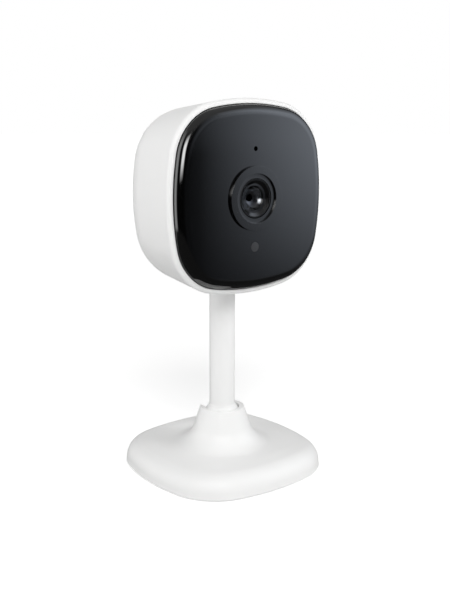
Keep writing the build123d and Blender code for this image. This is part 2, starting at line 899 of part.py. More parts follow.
# Round stem: a tube with a flange that the head holds, and a hollow foot that rests on the ball
with BuildPart() as stem_tube:
    with BuildSketch(Plane.XY.offset(ball_z)):
        Circle(stem_radius)
    extrude(amount=stem_top_z - ball_z)
    with BuildSketch(Plane.XY.offset(stem_pad_z)):
        Circle(stem_flange_radius)
    extrude(amount=stem_flange_length)
    with BuildSketch(Plane.XY.offset(ball_z)):
        Circle(stem_bore_radius)
    extrude(amount=stem_top_z - ball_z, mode=Mode.SUBTRACT)
    with Locations((0, 0, ball_z)):
        Sphere(seat_radius, mode=Mode.SUBTRACT)

# Plate that clamps the stem's flange down on its pad
with BuildPart() as stem_clamp:
    with BuildSketch(Plane.XY.offset(stem_pad_z)):
        Rectangle(stem_pad_width, stem_pad_depth)
    extrude(amount=stem_flange_length + clamp_thickness)
    with BuildSketch(Plane.XY.offset(stem_pad_z)):
        Circle(stem_flange_radius + fit_gap)
    extrude(amount=stem_flange_length, mode=Mode.SUBTRACT)
    with BuildSketch(Plane.XY.offset(stem_pad_z)):
        Circle(stem_bore_radius)
        with Locations(*clamp_spots):
            Circle(screw_hole_radius)
    extrude(amount=stem_flange_length + clamp_thickness, mode=Mode.SUBTRACT)

clamp_screws = screws(
    Plane.XY.offset(stem_pad_z + stem_flange_length + clamp_thickness),
    clamp_spots,
    stem_flange_length + clamp_thickness + clamp_screw_length - screw_gap,
)

# Ball under the stem, and the stud that stands on it inside the stem
with BuildPart() as joint_ball:
    with Locations((0, 0, ball_z)):
        Sphere(ball_radius)

with BuildPart() as stem_stud:
    with BuildSketch(Plane.XY.offset(ball_z)):
        Circle(stem_bore_radius - fit_gap)
    extrude(amount=ball_radius + stud_length)
    with Locations((0, 0, ball_z)):
        Sphere(seat_radius, mode=Mode.SUBTRACT)

# Base: a low pillow whose top flares up into a collar around the ball
slot_angle = radians(tilt_back)
slot_reach = base_half
with BuildPart() as base_shell:
    add(base_body(0))
    add(base_body(base_wall), mode=Mode.SUBTRACT)
    with BuildSketch(Plane.XZ):
        with BuildLine():
            FilletPolyline(
                (collar_radius, collar_height),
                (neck_foot_radius, base_top_z),
                (neck_foot_radius + neck_foot_round, base_top_z),
                radius=neck_foot_round,
            )
            Polyline(
                (neck_foot_radius + neck_foot_round, base_top_z),
                (neck_foot_radius + neck_foot_round, base_roof_z),
                (0, base_roof_z),
                (0, collar_height),
                (collar_radius, collar_height),
            )
        make_face()
    revolve(axis=Axis.Z)
    with BuildSketch(Plane.XY.offset(plate_top_z)):
        with Locations(*base_screw_spots):
            Circle(base_boss_radius)
    extrude(amount=base_roof_z - plate_top_z)
    with BuildSketch(Plane.XY.offset(plate_top_z)):
        Circle(retainer_plate_radius + fit_gap)
    extrude(amount=socket_plate_z - plate_top_z, mode=Mode.SUBTRACT)
    with BuildSketch(Plane.XZ):
        with BuildLine():
            Polyline(
                (collar_mouth_radius, ball_z + seat_lip_height),
                (collar_mouth_radius, collar_height),
                (0, collar_height),
                (0, plate_top_z),
                (seat_radius, plate_top_z),
                (seat_radius, ball_z),
            )
            RadiusArc((seat_radius, ball_z), (collar_mouth_radius, ball_z + seat_lip_height), -seat_radius)
        make_face()
    revolve(axis=Axis.Z, mode=Mode.SUBTRACT)
    with BuildSketch(Plane.YZ.offset(-slot_half_width)):
        with BuildLine():
            Polyline(
                (0, ball_z),
                (slot_reach * sin(slot_angle), ball_z + slot_reach * cos(slot_angle)),
                (slot_reach, collar_height + slot_reach),
                (0, collar_height + slot_reach),
                close=True,
            )
        make_face()
    extrude(amount=2 * slot_half_width, mode=Mode.SUBTRACT)
    with BuildSketch(Plane(origin=(0, 0, ball_z), z_dir=(0, sin(slot_angle), cos(slot_angle)))):
        Circle(slot_half_width)
    extrude(amount=slot_reach, mode=Mode.SUBTRACT)
    with BuildSketch(Plane.XY.offset(socket_plate_z)):
        with Locations(*retainer_spots):
            Circle(screw_hole_radius)
    extrude(amount=retainer_screw_length - retainer_plate_thickness, mode=Mode.SUBTRACT)
    with BuildSketch(Plane.XY.offset(plate_top_z)):
        with Locations(*base_screw_spots):
            Circle(screw_hole_radius)
    extrude(amount=base_screw_z + base_screw_length - plate_top_z, mode=Mode.SUBTRACT)

# Cup that presses the ball up against its seat, with a cone washer as its spring
with BuildPart() as socket_cup:
    with BuildSketch(Plane.XY.offset(cup_top_z)):
        Circle(ball_radius)
    extrude(amount=-cup_height)
    with Locations((0, 0, ball_z)):
        Sphere(seat_radius, mode=Mode.SUBTRACT)

with BuildPart() as cone_washer:
    with BuildSketch(Plane.XZ):
        with BuildLine():
            Polyline(
                (washer_hole_radius, cup_bottom_z),
                (washer_hole_radius, cup_bottom_z - washer_thickness),
                (ball_radius, cup_bottom_z - washer_thickness - washer_cone),
                (ball_radius, cup_bottom_z - washer_cone),
                close=True,
            )
        make_face()
    revolve(axis=Axis.Z)

# Plate that closes the ball's socket from below
with BuildPart() as socket_plate:
    with BuildSketch(Plane.XY.offset(socket_plate_z)):
        Circle(retainer_plate_radius)
        Circle(retainer_hole_radius, mode=Mode.SUBTRACT)
        with Locations(*retainer_spots):
            Circle(screw_hole_radius, mode=Mode.SUBTRACT)
    extrude(amount=-retainer_plate_thickness)

under_socket = Plane(
    origin=(0, 0, socket_plate_z - retainer_plate_thickness), x_dir=(1, 0, 0), z_dir=(0, 0, -1)
)
socket_screws = screws(under_socket, [(x, -y) for x, y in retainer_spots], retainer_screw_length)

# Closing plate, ballast and rubber foot under the base
with BuildPart() as base_plate:
    with BuildSketch(Plane.XY.offset(skirt_z)):
        add(base_outline(base_wall + lid_gap))
        with Locations(*base_screw_spots):
            Circle(screw_hole_radius, mode=Mode.SUBTRACT)
    extrude(amount=plate_thickness, taper=base_draft)
    with BuildSketch(Plane.XY.offset(skirt_z)):
        with Locations(*base_screw_spots):
            Circle(screw_head_radius + screw_gap)
    extrude(amount=plate_screw_sink, mode=Mode.SUBTRACT)
    with BuildSketch(Plane.XY.offset(skirt_z)):
        add(base_outline(foot_border))
        add(base_outline(foot_border + foot_width), mode=Mode.SUBTRACT)
    extrude(amount=foot_thickness - foot_drop, mode=Mode.SUBTRACT)

with BuildPart() as rubber_foot:
    with BuildSketch(Plane.XY):
        add(base_outline(foot_border + fit_gap))
        add(base_outline(foot_border + foot_width - fit_gap), mode=Mode.SUBTRACT)
    extrude(amount=foot_thickness)

with BuildPart() as ballast_plate:
    with BuildSketch(Plane.XY.offset(plate_top_z)):
        add(base_outline(base_wall + ballast_side_gap))
        Circle(ballast_hole_radius, mode=Mode.SUBTRACT)
        with Locations(*base_screw_spots):
            Circle(base_boss_radius + frame_gap, mode=Mode.SUBTRACT)
    extrude(amount=base_shoulder_z - base_wall - plate_top_z - lid_gap)

under_plate = Plane(origin=(0, 0, base_screw_z), x_dir=(1, 0, 0), z_dir=(0, 0, -1))
base_screws = screws(under_plate, base_screw_spots, base_screw_length)

pieces = {
    "front_panel": front_panel,
    "lens_ring": lens_ring,
    "lens_barrel": lens_barrel,
    "lens_retainer": lens_retainer,
    "front_lens": front_lens,
    "rear_lens": rear_lens,
    "lens_lock_ring": lens_lock_ring,
    "lens_holder": lens_holder,
    "filter_frame": filter_frame,
    "day_filter": day_filter,
    "night_window": night_window,
    "filter_coil": filter_coil,
    "image_sensor": image_sensor,
    "sensor_window": sensor_window,
    "led_board": led_board,
    "infrared_lights": infrared_lights,
    "status_light": status_light,
    "microphone": microphone,
    "microphone_boot": microphone_boot,
    "inner_frame": inner_frame,
    "main_board": main_board,
    "processor": processor,
    "heat_sink": heat_sink,
    "radio_shield": radio_shield,
    "antenna": antenna,
    "board_ribbon": board_ribbon,
    "head_screws": head_screws,
    "board_screws": board_screws,
    "rear_shell": rear_shell,
    "speaker": speaker,
    "socket_board": socket_board,
    "power_socket": power_socket,
    "reset_switch": reset_switch,
    "reset_button": reset_button,
    "stem_tube": stem_tube,
    "stem_clamp": stem_clamp,
    "clamp_screws": clamp_screws,
    "joint_ball": joint_ball,
    "stem_stud": stem_stud,
    "base_shell": base_shell,
    "socket_cup": socket_cup,
    "cone_washer": cone_washer,
    "socket_plate": socket_plate,
    "socket_screws": socket_screws,
    "base_plate": base_plate,
    "ballast_plate": ballast_plate,
    "base_screws": base_screws,
    "rubber_foot": rubber_foot,
}
os.makedirs("parts", exist_ok=True)
for name, piece in pieces.items():
    piece.part.label = name
    export_step(piece.part, f"parts/{name}.step")
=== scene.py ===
import json
import logging
from collections.abc import Sequence
from dataclasses import dataclass
from enum import Enum
from math import acos, atan2, cos, pi, radians, sin, sqrt, tan

import bmesh
import bpy
import numpy as np
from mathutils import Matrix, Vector
from mathutils.geometry import delaunay_2d_cdt


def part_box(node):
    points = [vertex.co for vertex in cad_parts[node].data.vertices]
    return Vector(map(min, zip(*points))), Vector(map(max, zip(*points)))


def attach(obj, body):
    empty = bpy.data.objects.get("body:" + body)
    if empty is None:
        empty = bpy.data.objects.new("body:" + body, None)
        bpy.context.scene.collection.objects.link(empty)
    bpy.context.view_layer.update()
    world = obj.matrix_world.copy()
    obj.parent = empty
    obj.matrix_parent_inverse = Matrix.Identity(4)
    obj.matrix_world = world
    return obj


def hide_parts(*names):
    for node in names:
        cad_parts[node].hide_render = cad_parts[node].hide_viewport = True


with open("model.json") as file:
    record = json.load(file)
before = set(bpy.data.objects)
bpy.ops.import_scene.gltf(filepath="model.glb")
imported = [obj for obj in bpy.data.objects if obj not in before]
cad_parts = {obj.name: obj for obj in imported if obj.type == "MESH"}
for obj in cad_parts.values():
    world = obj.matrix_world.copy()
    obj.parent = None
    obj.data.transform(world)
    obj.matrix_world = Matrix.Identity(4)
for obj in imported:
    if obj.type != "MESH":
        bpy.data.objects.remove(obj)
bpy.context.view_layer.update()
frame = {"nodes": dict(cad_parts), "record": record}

# Small indoor security camera. Sizes in this file are in millimetres, and meshes are in metres.
MM = 0.001
LOG = logging.getLogger("security_camera")

Array = np.ndarray
Colour = tuple[float, float, float]
Point = tuple[float, float]

# Types of a node group's sockets.
VALUE, VECTOR, COLOUR = "NodeSocketFloat", "NodeSocketVector", "NodeSocketColor"
# Numbers of a Mix node's two inputs and its output, for colours and for values.
MIX_COLOURS, MIXED_COLOUR = (6, 7), 2
MIX_VALUES = (2, 3)
# Detail of the noise that tints a finish, and of its grain.
CLOUD_DETAIL, GRAIN_DETAIL = 3.0, 2.0
# Edges that turn more than this many degrees stay sharp.
CREASE = 32.0


def node_middle(node: str) -> Vector:
    """Middle of a CAD node's box, in millimetres."""
    low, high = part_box(node)
    return (low + high) / (2 * MM)


HEAD_Z = node_middle("front_panel").z
BALL_Z = node_middle("joint_ball").z


class Axis(Enum):
    """The two directions that cross sections are stacked along."""

    LENS = "along Y, through the middle of the head"
    STEM = "along Z, through the middle of the base"

    def place(self, flat: Array, along: Array, centre: Point = (0.0, 0.0)) -> Array:
        """Puts flat points into the part's frame.

        Args:
            flat: points across the axis, with two values in the last dimension.
            along: place along the axis, which fits flat's other dimensions.
            centre: where the middle of the flat points goes across the axis.

        Returns:
            The points with three values in the last dimension, in millimetres.
        """
        across = flat[..., 0] + centre[0]
        up = flat[..., 1] + centre[1]
        depth = np.broadcast_to(along, across.shape)
        if self is Axis.LENS:
            return np.stack([across, depth, up + HEAD_Z], axis=-1)
        return np.stack([across, up, depth], axis=-1)


@dataclass(frozen=True)
class Outline:
    """Rounded square: four bowed sides and four round corners, tangent to each other."""

    half: float
    side_radius: float
    corner_radius: float
    side_steps: int = 24
    corner_steps: int = 36

    def loops(self, growth: Array) -> Array:
        """Loops of the outline, each grown outwards all round.

        A point is the centre of its arc plus the arc's radius along the outline's normal, as a complex number.
        Growing the outline adds to every radius and keeps the centres. A quarter is turned four times.

        Args:
            growth: one growth for each loop.

        Returns:
            Flat points, as loops by points by two.
        """
        side_centre = self.half - self.side_radius
        inner = self.side_radius - self.corner_radius
        corner_centre = (side_centre + sqrt(2 * inner**2 - side_centre**2)) / 2
        turn = atan2(corner_centre, corner_centre - side_centre)
        side = np.linspace(-turn, turn, self.side_steps, endpoint=False)
        corner = np.linspace(turn, pi / 2 - turn, self.corner_steps, endpoint=False)
        normal = np.exp(1j * np.concatenate([side, corner]))
        counts = (self.side_steps, self.corner_steps)
        radius = np.repeat([self.side_radius, self.corner_radius], counts)
        centre = np.repeat([side_centre, corner_centre * (1 + 1j)], counts)
        grown = np.atleast_1d(growth)[:, None]
        quarter = centre + (radius + grown) * normal
        whole = (quarter[:, None, :] * (1j ** np.arange(4))[None, :, None]).reshape(len(grown), -1)
        return np.stack([whole.real, whole.imag], axis=-1)


def circles(radius: Array, columns: int = 96) -> Array:
    """Circles about the middle, one for each radius, as circles by columns by two."""
    turn = np.linspace(0, 2 * pi, columns, endpoint=False)
    return np.atleast_1d(radius)[:, None, None] * np.stack([np.cos(turn), np.sin(turn)], axis=-1)


def stadium(width: float, height: float, growth: Array, columns: int = 48) -> Array:
    """Loops with two half-round ends and two straight sides, grown outwards all round.

    A point is a point on a circle, pushed sideways by half the straight side on the half that it is on.
    """
    turn = np.linspace(0, 2 * pi, columns, endpoint=False) + pi / columns
    radius = height / 2 + np.atleast_1d(growth)[:, None]
    push = (width - height) / 2 * np.sign(np.cos(turn))
    return np.stack([radius * np.cos(turn) + push, radius * np.sin(turn) + 0 * push], axis=-1)


def rounded(corners: Sequence[Point], radii: Sequence[float], steps: int = 6, closed: bool = True) -> Array:
    """Line through corners, with an arc in place of each corner that has a radius.

    An arc starts and ends at its radius over the tangent of half the corner's angle, and its centre lies on the
    corner's bisector at the radius over the sine of that half.

    Args:
        corners: the corner points.
        radii: one radius for each corner, 0 for a sharp one.
        steps: points on each arc, less one.
        closed: whether the last corner is joined to the first one.

    Returns:
        The points of the line, one row each.
    """
    spots = np.array(corners, float)
    parts = []
    for place, (spot, radius) in enumerate(zip(spots, radii)):
        end = not closed and place in (0, len(spots) - 1)
        if radius == 0 or end:
            parts.append(spot[None, :])
            continue
        back = spots[place - 1] - spot
        ahead = spots[(place + 1) % len(spots)] - spot
        back /= np.linalg.norm(back)
        ahead /= np.linalg.norm(ahead)
        half = acos(np.clip(back @ ahead, -1, 1)) / 2
        middle = (back + ahead) / np.linalg.norm(back + ahead)
        centre = spot + middle * radius / sin(half)
        first = spot + back * radius / tan(half) - centre
        last = spot + ahead * radius / tan(half) - centre
        start = atan2(first[1], first[0])
        sweep = (atan2(last[1], last[0]) - start + pi) % (2 * pi) - pi
        angle = start + sweep * np.linspace(0, 1, steps + 1)
        parts.append(centre + radius * np.stack([np.cos(angle), np.sin(angle)], axis=-1))
    return np.concatenate(parts)


def stairs(radii: Sequence[float], depths: Sequence[float]) -> Array:
    """Profile that goes across from each radius to the next one, at one depth after the other.

    Args:
        radii: the radii in order, one more than the depths.
        depths: the depths in order.

    Returns:
        Radius and depth of each corner, one row each.
    """
    return np.stack([np.repeat(radii, 2)[1:-1], np.repeat(depths, 2)], axis=-1)


class Shape:
    """Points and faces of a closed form, gathered patch by patch and welded into one mesh."""

    WELD = 1e-7
    SAME_SPOT = 1e-9
    INSIDE_ONLY = 1

    def __init__(self) -> None:
        """Starts with nothing in it."""
        self._points: list[Array] = []
        self._faces: list[Array] = []
        self._count = 0

    def patch(self, points: Array, faces: Array) -> "Shape":
        """Adds points and faces, whose corner numbers count from the patch's own first point."""
        self._points.append(points)
        self._faces.append(faces + self._count)
        self._count += len(points)
        return self

    def grid(self, points: Array, closed: bool = False) -> "Shape":
        """Adds a grid whose columns run round and, where it is closed, whose last row meets the first.

        Args:
            points: rows by columns by three.
            closed: whether the rows also run round.

        Returns:
            This shape.
        """
        rows, columns = points.shape[:2]
        row, column = np.meshgrid(np.arange(rows if closed else rows - 1), np.arange(columns), indexing="ij")
        below = (row + 1) % rows
        beside = (column + 1) % columns
        corners = [(row, column), (row, beside), (below, beside), (below, column)]
        quads = np.stack([r * columns + c for r, c in corners], axis=-1).reshape(-1, 4)
        return self.patch(points.reshape(-1, 3), quads)

    def bar(self, loop: Array, ends: Point, axis: Axis, centre: Point = (0.0, 0.0)) -> "Shape":
        """Adds a straight bar with a loop's outline: the loop at both ends, and each end drawn to its middle.

        Args:
            loop: the outline's flat points.
            ends: where the bar starts and ends along the axis.
            axis: the direction of the bar.
            centre: where the loop's middle goes across the axis.

        Returns:
            This shape.
        """
        rows = loop * np.array([0, 1, 1, 0])[:, None, None]
        return self.grid(axis.place(rows, np.repeat(ends, 2)[:, None], centre))

    def plate(self, loop: Array, holes: list[Array], axis: Axis, along: float) -> "Shape":
        """Adds a flat face inside a loop and outside its round holes, filled with triangles.

        A triangle belongs to the face if its middle is further from each hole's middle than the hole's radius.
        """
        rings = [loop, *holes]
        flat = np.concatenate(rings)
        edges = []
        start = 0
        for ring in rings:
            number = np.arange(len(ring))
            edges.append(np.stack([number, (number + 1) % len(ring)], axis=-1) + start)
            start += len(ring)
        corners = [Vector(spot) for spot in flat.tolist()]
        found = delaunay_2d_cdt(corners, np.concatenate(edges).tolist(), [], self.INSIDE_ONLY, self.SAME_SPOT)
        spots = np.array([tuple(spot) for spot in found[0]])
        triangles = np.array(found[2])
        middle = spots[triangles].mean(axis=1)
        keep = np.ones(len(triangles), bool)
        for hole in holes:
            centre = hole.mean(axis=0)
            keep &= np.linalg.norm(middle - centre, axis=1) > np.linalg.norm(hole[0] - centre)
        return self.patch(axis.place(spots, np.array(along)), triangles[keep])

    def build(self, name: str) -> bpy.types.Object:
        """Welds the patches into one object with its faces outwards.

        Args:
            name: the piece's name.

        Returns:
            The new object, linked to the scene.
        """
        mesh = bpy.data.meshes.new(name)
        faces = [face for block in self._faces for face in block.tolist()]
        mesh.from_pydata((np.concatenate(self._points) * MM).tolist(), [], faces)
        work = bmesh.new()
        work.from_mesh(mesh)
        bmesh.ops.remove_doubles(work, verts=work.verts, dist=self.WELD)
        bmesh.ops.recalc_face_normals(work, faces=work.faces)
        work.to_mesh(mesh)
        work.free()
        smooth(mesh)
        return add_object(name, mesh)


def add_object(name: str, data: bpy.types.ID) -> bpy.types.Object:
    """A new object, linked to the scene."""
    made = bpy.data.objects.new(name, data)
    bpy.context.scene.collection.objects.link(made)
    return made


def smooth(mesh: bpy.types.Mesh) -> None:
    """Shades a mesh smooth, apart from its sharp edges."""
    mesh.shade_smooth()
    mesh.set_sharp_from_angle(angle=radians(CREASE))


def turned(
    name: str, profile: Array, axis: Axis, columns: int, closed: bool = False, centre: Point = (0.0, 0.0)
) -> bpy.types.Object:
    """Piece whose profile is turned about an axis.

    Args:
        name: the piece's name.
        profile: radius and place along the axis of each point.
        axis: the axis.
        columns: points on each circle.
        closed: whether the profile is a ring that closes on itself.
        centre: where the axis passes, across its direction.

    Returns:
        The new piece.
    """
    grid = axis.place(circles(profile[:, 0], columns), profile[:, 1][:, None], centre)
    return Shape().grid(grid, closed).build(name)


def cut(piece: bpy.types.Object, tool: bpy.types.Object) -> None:
    """Cuts a closed tool out of a piece, keeps the result as the piece's own mesh and removes the tool."""
    modifier = piece.modifiers.new("cut", "BOOLEAN")
    modifier.operation = "DIFFERENCE"
    modifier.solver = "EXACT"
    modifier.object = tool
    evaluated = piece.evaluated_get(bpy.context.evaluated_depsgraph_get())
    whole = piece.data
    piece.data = bpy.data.meshes.new_from_object(evaluated)
    piece.data.name = piece.name
    piece.modifiers.clear()
    bpy.data.meshes.remove(whole)
    bpy.data.objects.remove(tool)
    smooth(piece.data)


class Wiring:
    """Adds nodes to a node tree, with their inputs set or linked by name."""

    def __init__(self, tree: bpy.types.NodeTree) -> None:
        """Works on a tree that has been emptied of its nodes."""
        self.tree = tree
        tree.nodes.clear()

    def node(self, kind: str, inputs: dict | None = None, **settings: object) -> bpy.types.Node:
        """Adds a node.

        Args:
            kind: Blender's name of the node type.
            inputs: values or output sockets for the node's inputs, by name or number.
            settings: properties of the node itself.

        Returns:
            The new node.
        """
        made = self.tree.nodes.new(kind)
        for key, value in settings.items():
            setattr(made, key, value)
        for key, value in (inputs or {}).items():
            if isinstance(value, bpy.types.NodeSocket):
                self.tree.links.new(value, made.inputs[key])
            else:
                made.inputs[key].default_value = value
        return made

    def math(self, operation: str, first: object, second: object) -> bpy.types.NodeSocket:
        """Output of a Math node on two values or sockets."""
        return self.node("ShaderNodeMath", {0: first, 1: second}, operation=operation).outputs[0]


class Effect(Enum):
    """Surface effects that several finishes share, each one a node group."""

    WORKED = "worked_surface"
    RINGS = "turned_rings"

    def tree(self) -> bpy.types.NodeTree:
        """The effect's node group, built when it is first asked for."""
        return bpy.data.node_groups.get(self.value) or EFFECT_BUILDERS[self](self.value)


def new_material(name: str) -> tuple[bpy.types.Material, Wiring]:
    """A new material with nothing in it, and its wiring."""
    material = bpy.data.materials.new(name)
    material.use_nodes = True
    return material, Wiring(material.node_tree)


def new_group(name: str, inputs: dict[str, str], outputs: dict[str, str]) -> tuple[Wiring, dict]:
    """Starts a node group.

    Args:
        name: the group's name.
        inputs: socket types of its inputs, by name.
        outputs: socket types of its outputs, by name.

    Returns:
        The group's wiring, and its input sockets by name.
    """
    tree = bpy.data.node_groups.new(name, "ShaderNodeTree")
    for label, kind in inputs.items():
        tree.interface.new_socket(label, in_out="INPUT", socket_type=kind)
    for label, kind in outputs.items():
        tree.interface.new_socket(label, in_out="OUTPUT", socket_type=kind)
    wiring = Wiring(tree)
    return wiring, wiring.node("NodeGroupInput").outputs


def worked_surface(name: str) -> bpy.types.NodeTree:
    """Moulded or brushed surface: tone that drifts, uneven gloss and a fine grain."""
    values = dict.fromkeys(("Drift", "Roughness", "Spread", "Patches", "Grain"), VALUE)
    wiring, given = new_group(
        name,
        {"Vector": VECTOR, "Colour": COLOUR, **values},
        {"Colour": COLOUR, "Roughness": VALUE, "Height": VALUE},
    )
    cloud, grain = (
        wiring.node(
            "ShaderNodeTexNoise", {"Vector": given["Vector"], "Scale": given[scale], "Detail": detail}
        ).outputs["Fac"]
        for scale, detail in (("Patches", CLOUD_DETAIL), ("Grain", GRAIN_DETAIL))
    )
    centred = wiring.math("SUBTRACT", cloud, 0.5)
    tone = wiring.math("ADD", 1.0, wiring.math("MULTIPLY", centred, given["Drift"]))
    tinted = wiring.node(
        "ShaderNodeMix",
        {"Factor": 1.0, MIX_COLOURS[0]: given["Colour"], MIX_COLOURS[1]: tone},
        data_type="RGBA",
        blend_type="MULTIPLY",
    ).outputs[MIXED_COLOUR]
    both = wiring.math("ADD", centred, wiring.math("SUBTRACT", grain, 0.5))
    gloss = wiring.math("ADD", given["Roughness"], wiring.math("MULTIPLY", both, given["Spread"]))
    wiring.node("NodeGroupOutput", {"Colour": tinted, "Roughness": gloss, "Height": grain})
    return wiring.tree


def turned_rings(name: str) -> bpy.types.NodeTree:
    """Fine rings that a lathe leaves, about a line along Y: a wave of the distance from that line."""
    wiring, given = new_group(name, {"Vector": VECTOR, "Middle": VECTOR, "Rings": VALUE}, {"Height": VALUE})
    away = wiring.node(
        "ShaderNodeVectorMath", {0: given["Vector"], 1: given["Middle"]}, operation="SUBTRACT"
    ).outputs[0]
    flat = wiring.node("ShaderNodeVectorMath", {0: away, 1: (1.0, 0.0, 1.0)}, operation="MULTIPLY").outputs[0]
    reach = wiring.node("ShaderNodeVectorMath", {0: flat}, operation="LENGTH").outputs["Value"]
    wave = wiring.math("SINE", wiring.math("MULTIPLY", reach, given["Rings"]), 0.0)
    wiring.node("NodeGroupOutput", {"Height": wave})
    return wiring.tree


EFFECT_BUILDERS = {Effect.WORKED: worked_surface, Effect.RINGS: turned_rings}


@dataclass(frozen=True)
class Finish:
    """A finish on Object coordinates: a base colour, gloss and grain, with settings of its own."""

    name: str
    colour: Colour
    roughness: float
    drift: float = 0.06
    spread: float = 0.08
    patch_size: float = 9.0
    grain_size: float = 0.3
    grain_depth: float = 0.004
    stretch: Colour = (1.0, 1.0, 1.0)
    metallic: float = 0.0
    specular: float = 0.5
    ior: float = 1.5
    coat: float = 0.0
    coat_roughness: float = 0.05
    rings: float = 0.0
    ring_depth: float = 0.0
    clear: float = 0.0

    def build(self) -> bpy.types.Material:
        """The finish's material, built when it is first asked for."""
        found = bpy.data.materials.get(self.name)
        if found:
            return found
        material, wiring = new_material(self.name)
        shader = wiring.node(
            "ShaderNodeBsdfPrincipled",
            {
                **self._surface(wiring),
                "Metallic": self.metallic,
                "Specular IOR Level": self.specular,
                "IOR": self.ior,
                "Coat Weight": self.coat,
                "Coat Roughness": self.coat_roughness,
                "Transmission Weight": self.clear,
            },
        )
        wiring.node("ShaderNodeOutputMaterial", {"Surface": shader.outputs[0]})
        return material

    def _surface(self, wiring: Wiring) -> dict[str, bpy.types.NodeSocket]:
        """Outputs of the shared effects, by the shader's inputs that they go to."""
        place = wiring.node("ShaderNodeTexCoord").outputs["Object"]
        worked = wiring.node(
            "ShaderNodeGroup",
            {
                "Vector": wiring.node("ShaderNodeMapping", {"Vector": place, "Scale": self.stretch}).outputs[0],
                "Colour": (*self.colour, 1.0),
                "Drift": self.drift,
                "Roughness": self.roughness,
                "Spread": self.spread,
                "Patches": 1 / (self.patch_size * MM),
                "Grain": 1 / (self.grain_size * MM),
            },
            node_tree=Effect.WORKED.tree(),
        ).outputs
        bump = {"Height": worked["Height"], "Distance": self.grain_depth * MM, "Strength": 1.0}
        normal = wiring.node("ShaderNodeBump", bump).outputs[0]
        if self.rings:
            lathe = wiring.node(
                "ShaderNodeGroup",
                {"Vector": place, "Middle": (0.0, 0.0, HEAD_Z * MM), "Rings": 2 * pi / (self.rings * MM)},
                node_tree=Effect.RINGS.tree(),
            )
            bump |= {"Height": lathe.outputs["Height"], "Distance": self.ring_depth * MM, "Normal": normal}
            normal = wiring.node("ShaderNodeBump", bump).outputs[0]
        return {"Base Color": worked["Colour"], "Roughness": worked["Roughness"], "Normal": normal}


WHITE_SHELL = Finish(
    "moulded_white", (0.83, 0.83, 0.825), 0.5, drift=0.03, spread=0.1, specular=0.4, grain_size=0.35,
    grain_depth=0.003
)
BLACK_CAP = Finish(
    "blackened_metal", (0.001, 0.001, 0.0011), 0.16, drift=0.2, specular=0.7, grain_size=0.3, grain_depth=0.001
)
DARK_GLASS = Finish(
    "dark_glass", (0.001, 0.001, 0.0012), 0.24, drift=0.1, spread=0.02, specular=1.0, coat=1.0, grain_depth=0.0
)
GOLD = Finish("gilt_contact", (0.78, 0.57, 0.25), 0.25, drift=0.1, metallic=1.0, stretch=(1.0, 0.1, 1.0))

SLOT_FINISHES = {
    "shell_white": WHITE_SHELL,
    "stem_white": Finish(
        "painted_white", (0.85, 0.85, 0.845), 0.45, drift=0.03, specular=0.4, grain_size=0.6, grain_depth=0.003
    ),
    "ball_white": WHITE_SHELL,
    "panel_black": Finish(
        "polished_black", (0.001, 0.001, 0.0011), 0.05, drift=0.2, spread=0.03, specular=1.0, patch_size=14.0,
        grain_size=5.0, grain_depth=0.0015
    ),
    "ring_black": Finish(
        "moulded_black", (0.0015, 0.0015, 0.0016), 0.14, drift=0.2, spread=0.03, specular=1.0, patch_size=14.0,
        grain_size=4.0, grain_depth=0.001
    ),
    "barrel_black": Finish(
        "anodised_black", (0.002, 0.002, 0.0022), 0.4, drift=0.15, specular=0.2, rings=0.28, ring_depth=0.01
    ),
    "lens_glass": Finish(
        "coated_glass", (0.95, 0.97, 1.0), 0.01, drift=0.02, spread=0.01, grain_depth=0.0, clear=1.0, ior=1.1
    ),
    "filter_glass": Finish(
        "filter_glass", (0.5, 0.9, 0.85), 0.02, drift=0.02, spread=0.01, grain_depth=0.0, clear=1.0
    ),
    "window_grey": Finish(
        "smoked_window", (0.024, 0.024, 0.025), 0.3, drift=0.1, specular=0.8, grain_size=0.5, grain_depth=0.001
    ),
    "board_green": Finish(
        "green_lacquer", (0.02, 0.16, 0.07), 0.35, drift=0.25, patch_size=3.0, grain_size=0.5, coat=0.3
    ),
    "inner_black": Finish("inner_black", (0.03, 0.03, 0.032), 0.5, drift=0.15),
    "chip_black": Finish("chip_black", (0.035, 0.035, 0.04), 0.45, drift=0.15, grain_size=0.15),
    "light_clear": Finish("clear_resin", (0.75, 0.74, 0.68), 0.15, drift=0.05, grain_depth=0.001),
    "coil_copper": Finish("enamelled_copper", (0.6, 0.27, 0.12), 0.3, metallic=1.0, stretch=(4.0, 0.2, 0.2)),
    "sink_metal": Finish("extruded_metal", (0.6, 0.6, 0.61), 0.4, metallic=1.0, stretch=(4.0, 4.0, 0.1)),
    "steel": Finish("plated_steel", (0.56, 0.56, 0.57), 0.3, drift=0.12, metallic=1.0, stretch=(1.0, 0.2, 1.0)),
    "antenna_pale": Finish("pale_ceramic", (0.75, 0.73, 0.68), 0.5),
    "ribbon_amber": Finish("amber_film", (0.5, 0.25, 0.06), 0.25),
    "speaker_black": Finish("speaker_black", (0.04, 0.04, 0.045), 0.55),
    "button_grey": Finish("moulded_grey", (0.4, 0.4, 0.4), 0.4, drift=0.05),
    "inner_white": Finish("inner_white", (0.72, 0.72, 0.71), 0.5, drift=0.04, grain_size=0.4, grain_depth=0.006),
    "foot_rubber": Finish("matt_rubber", (0.04, 0.04, 0.042), 0.75, drift=0.2, grain_size=0.25, grain_depth=0.012),
}


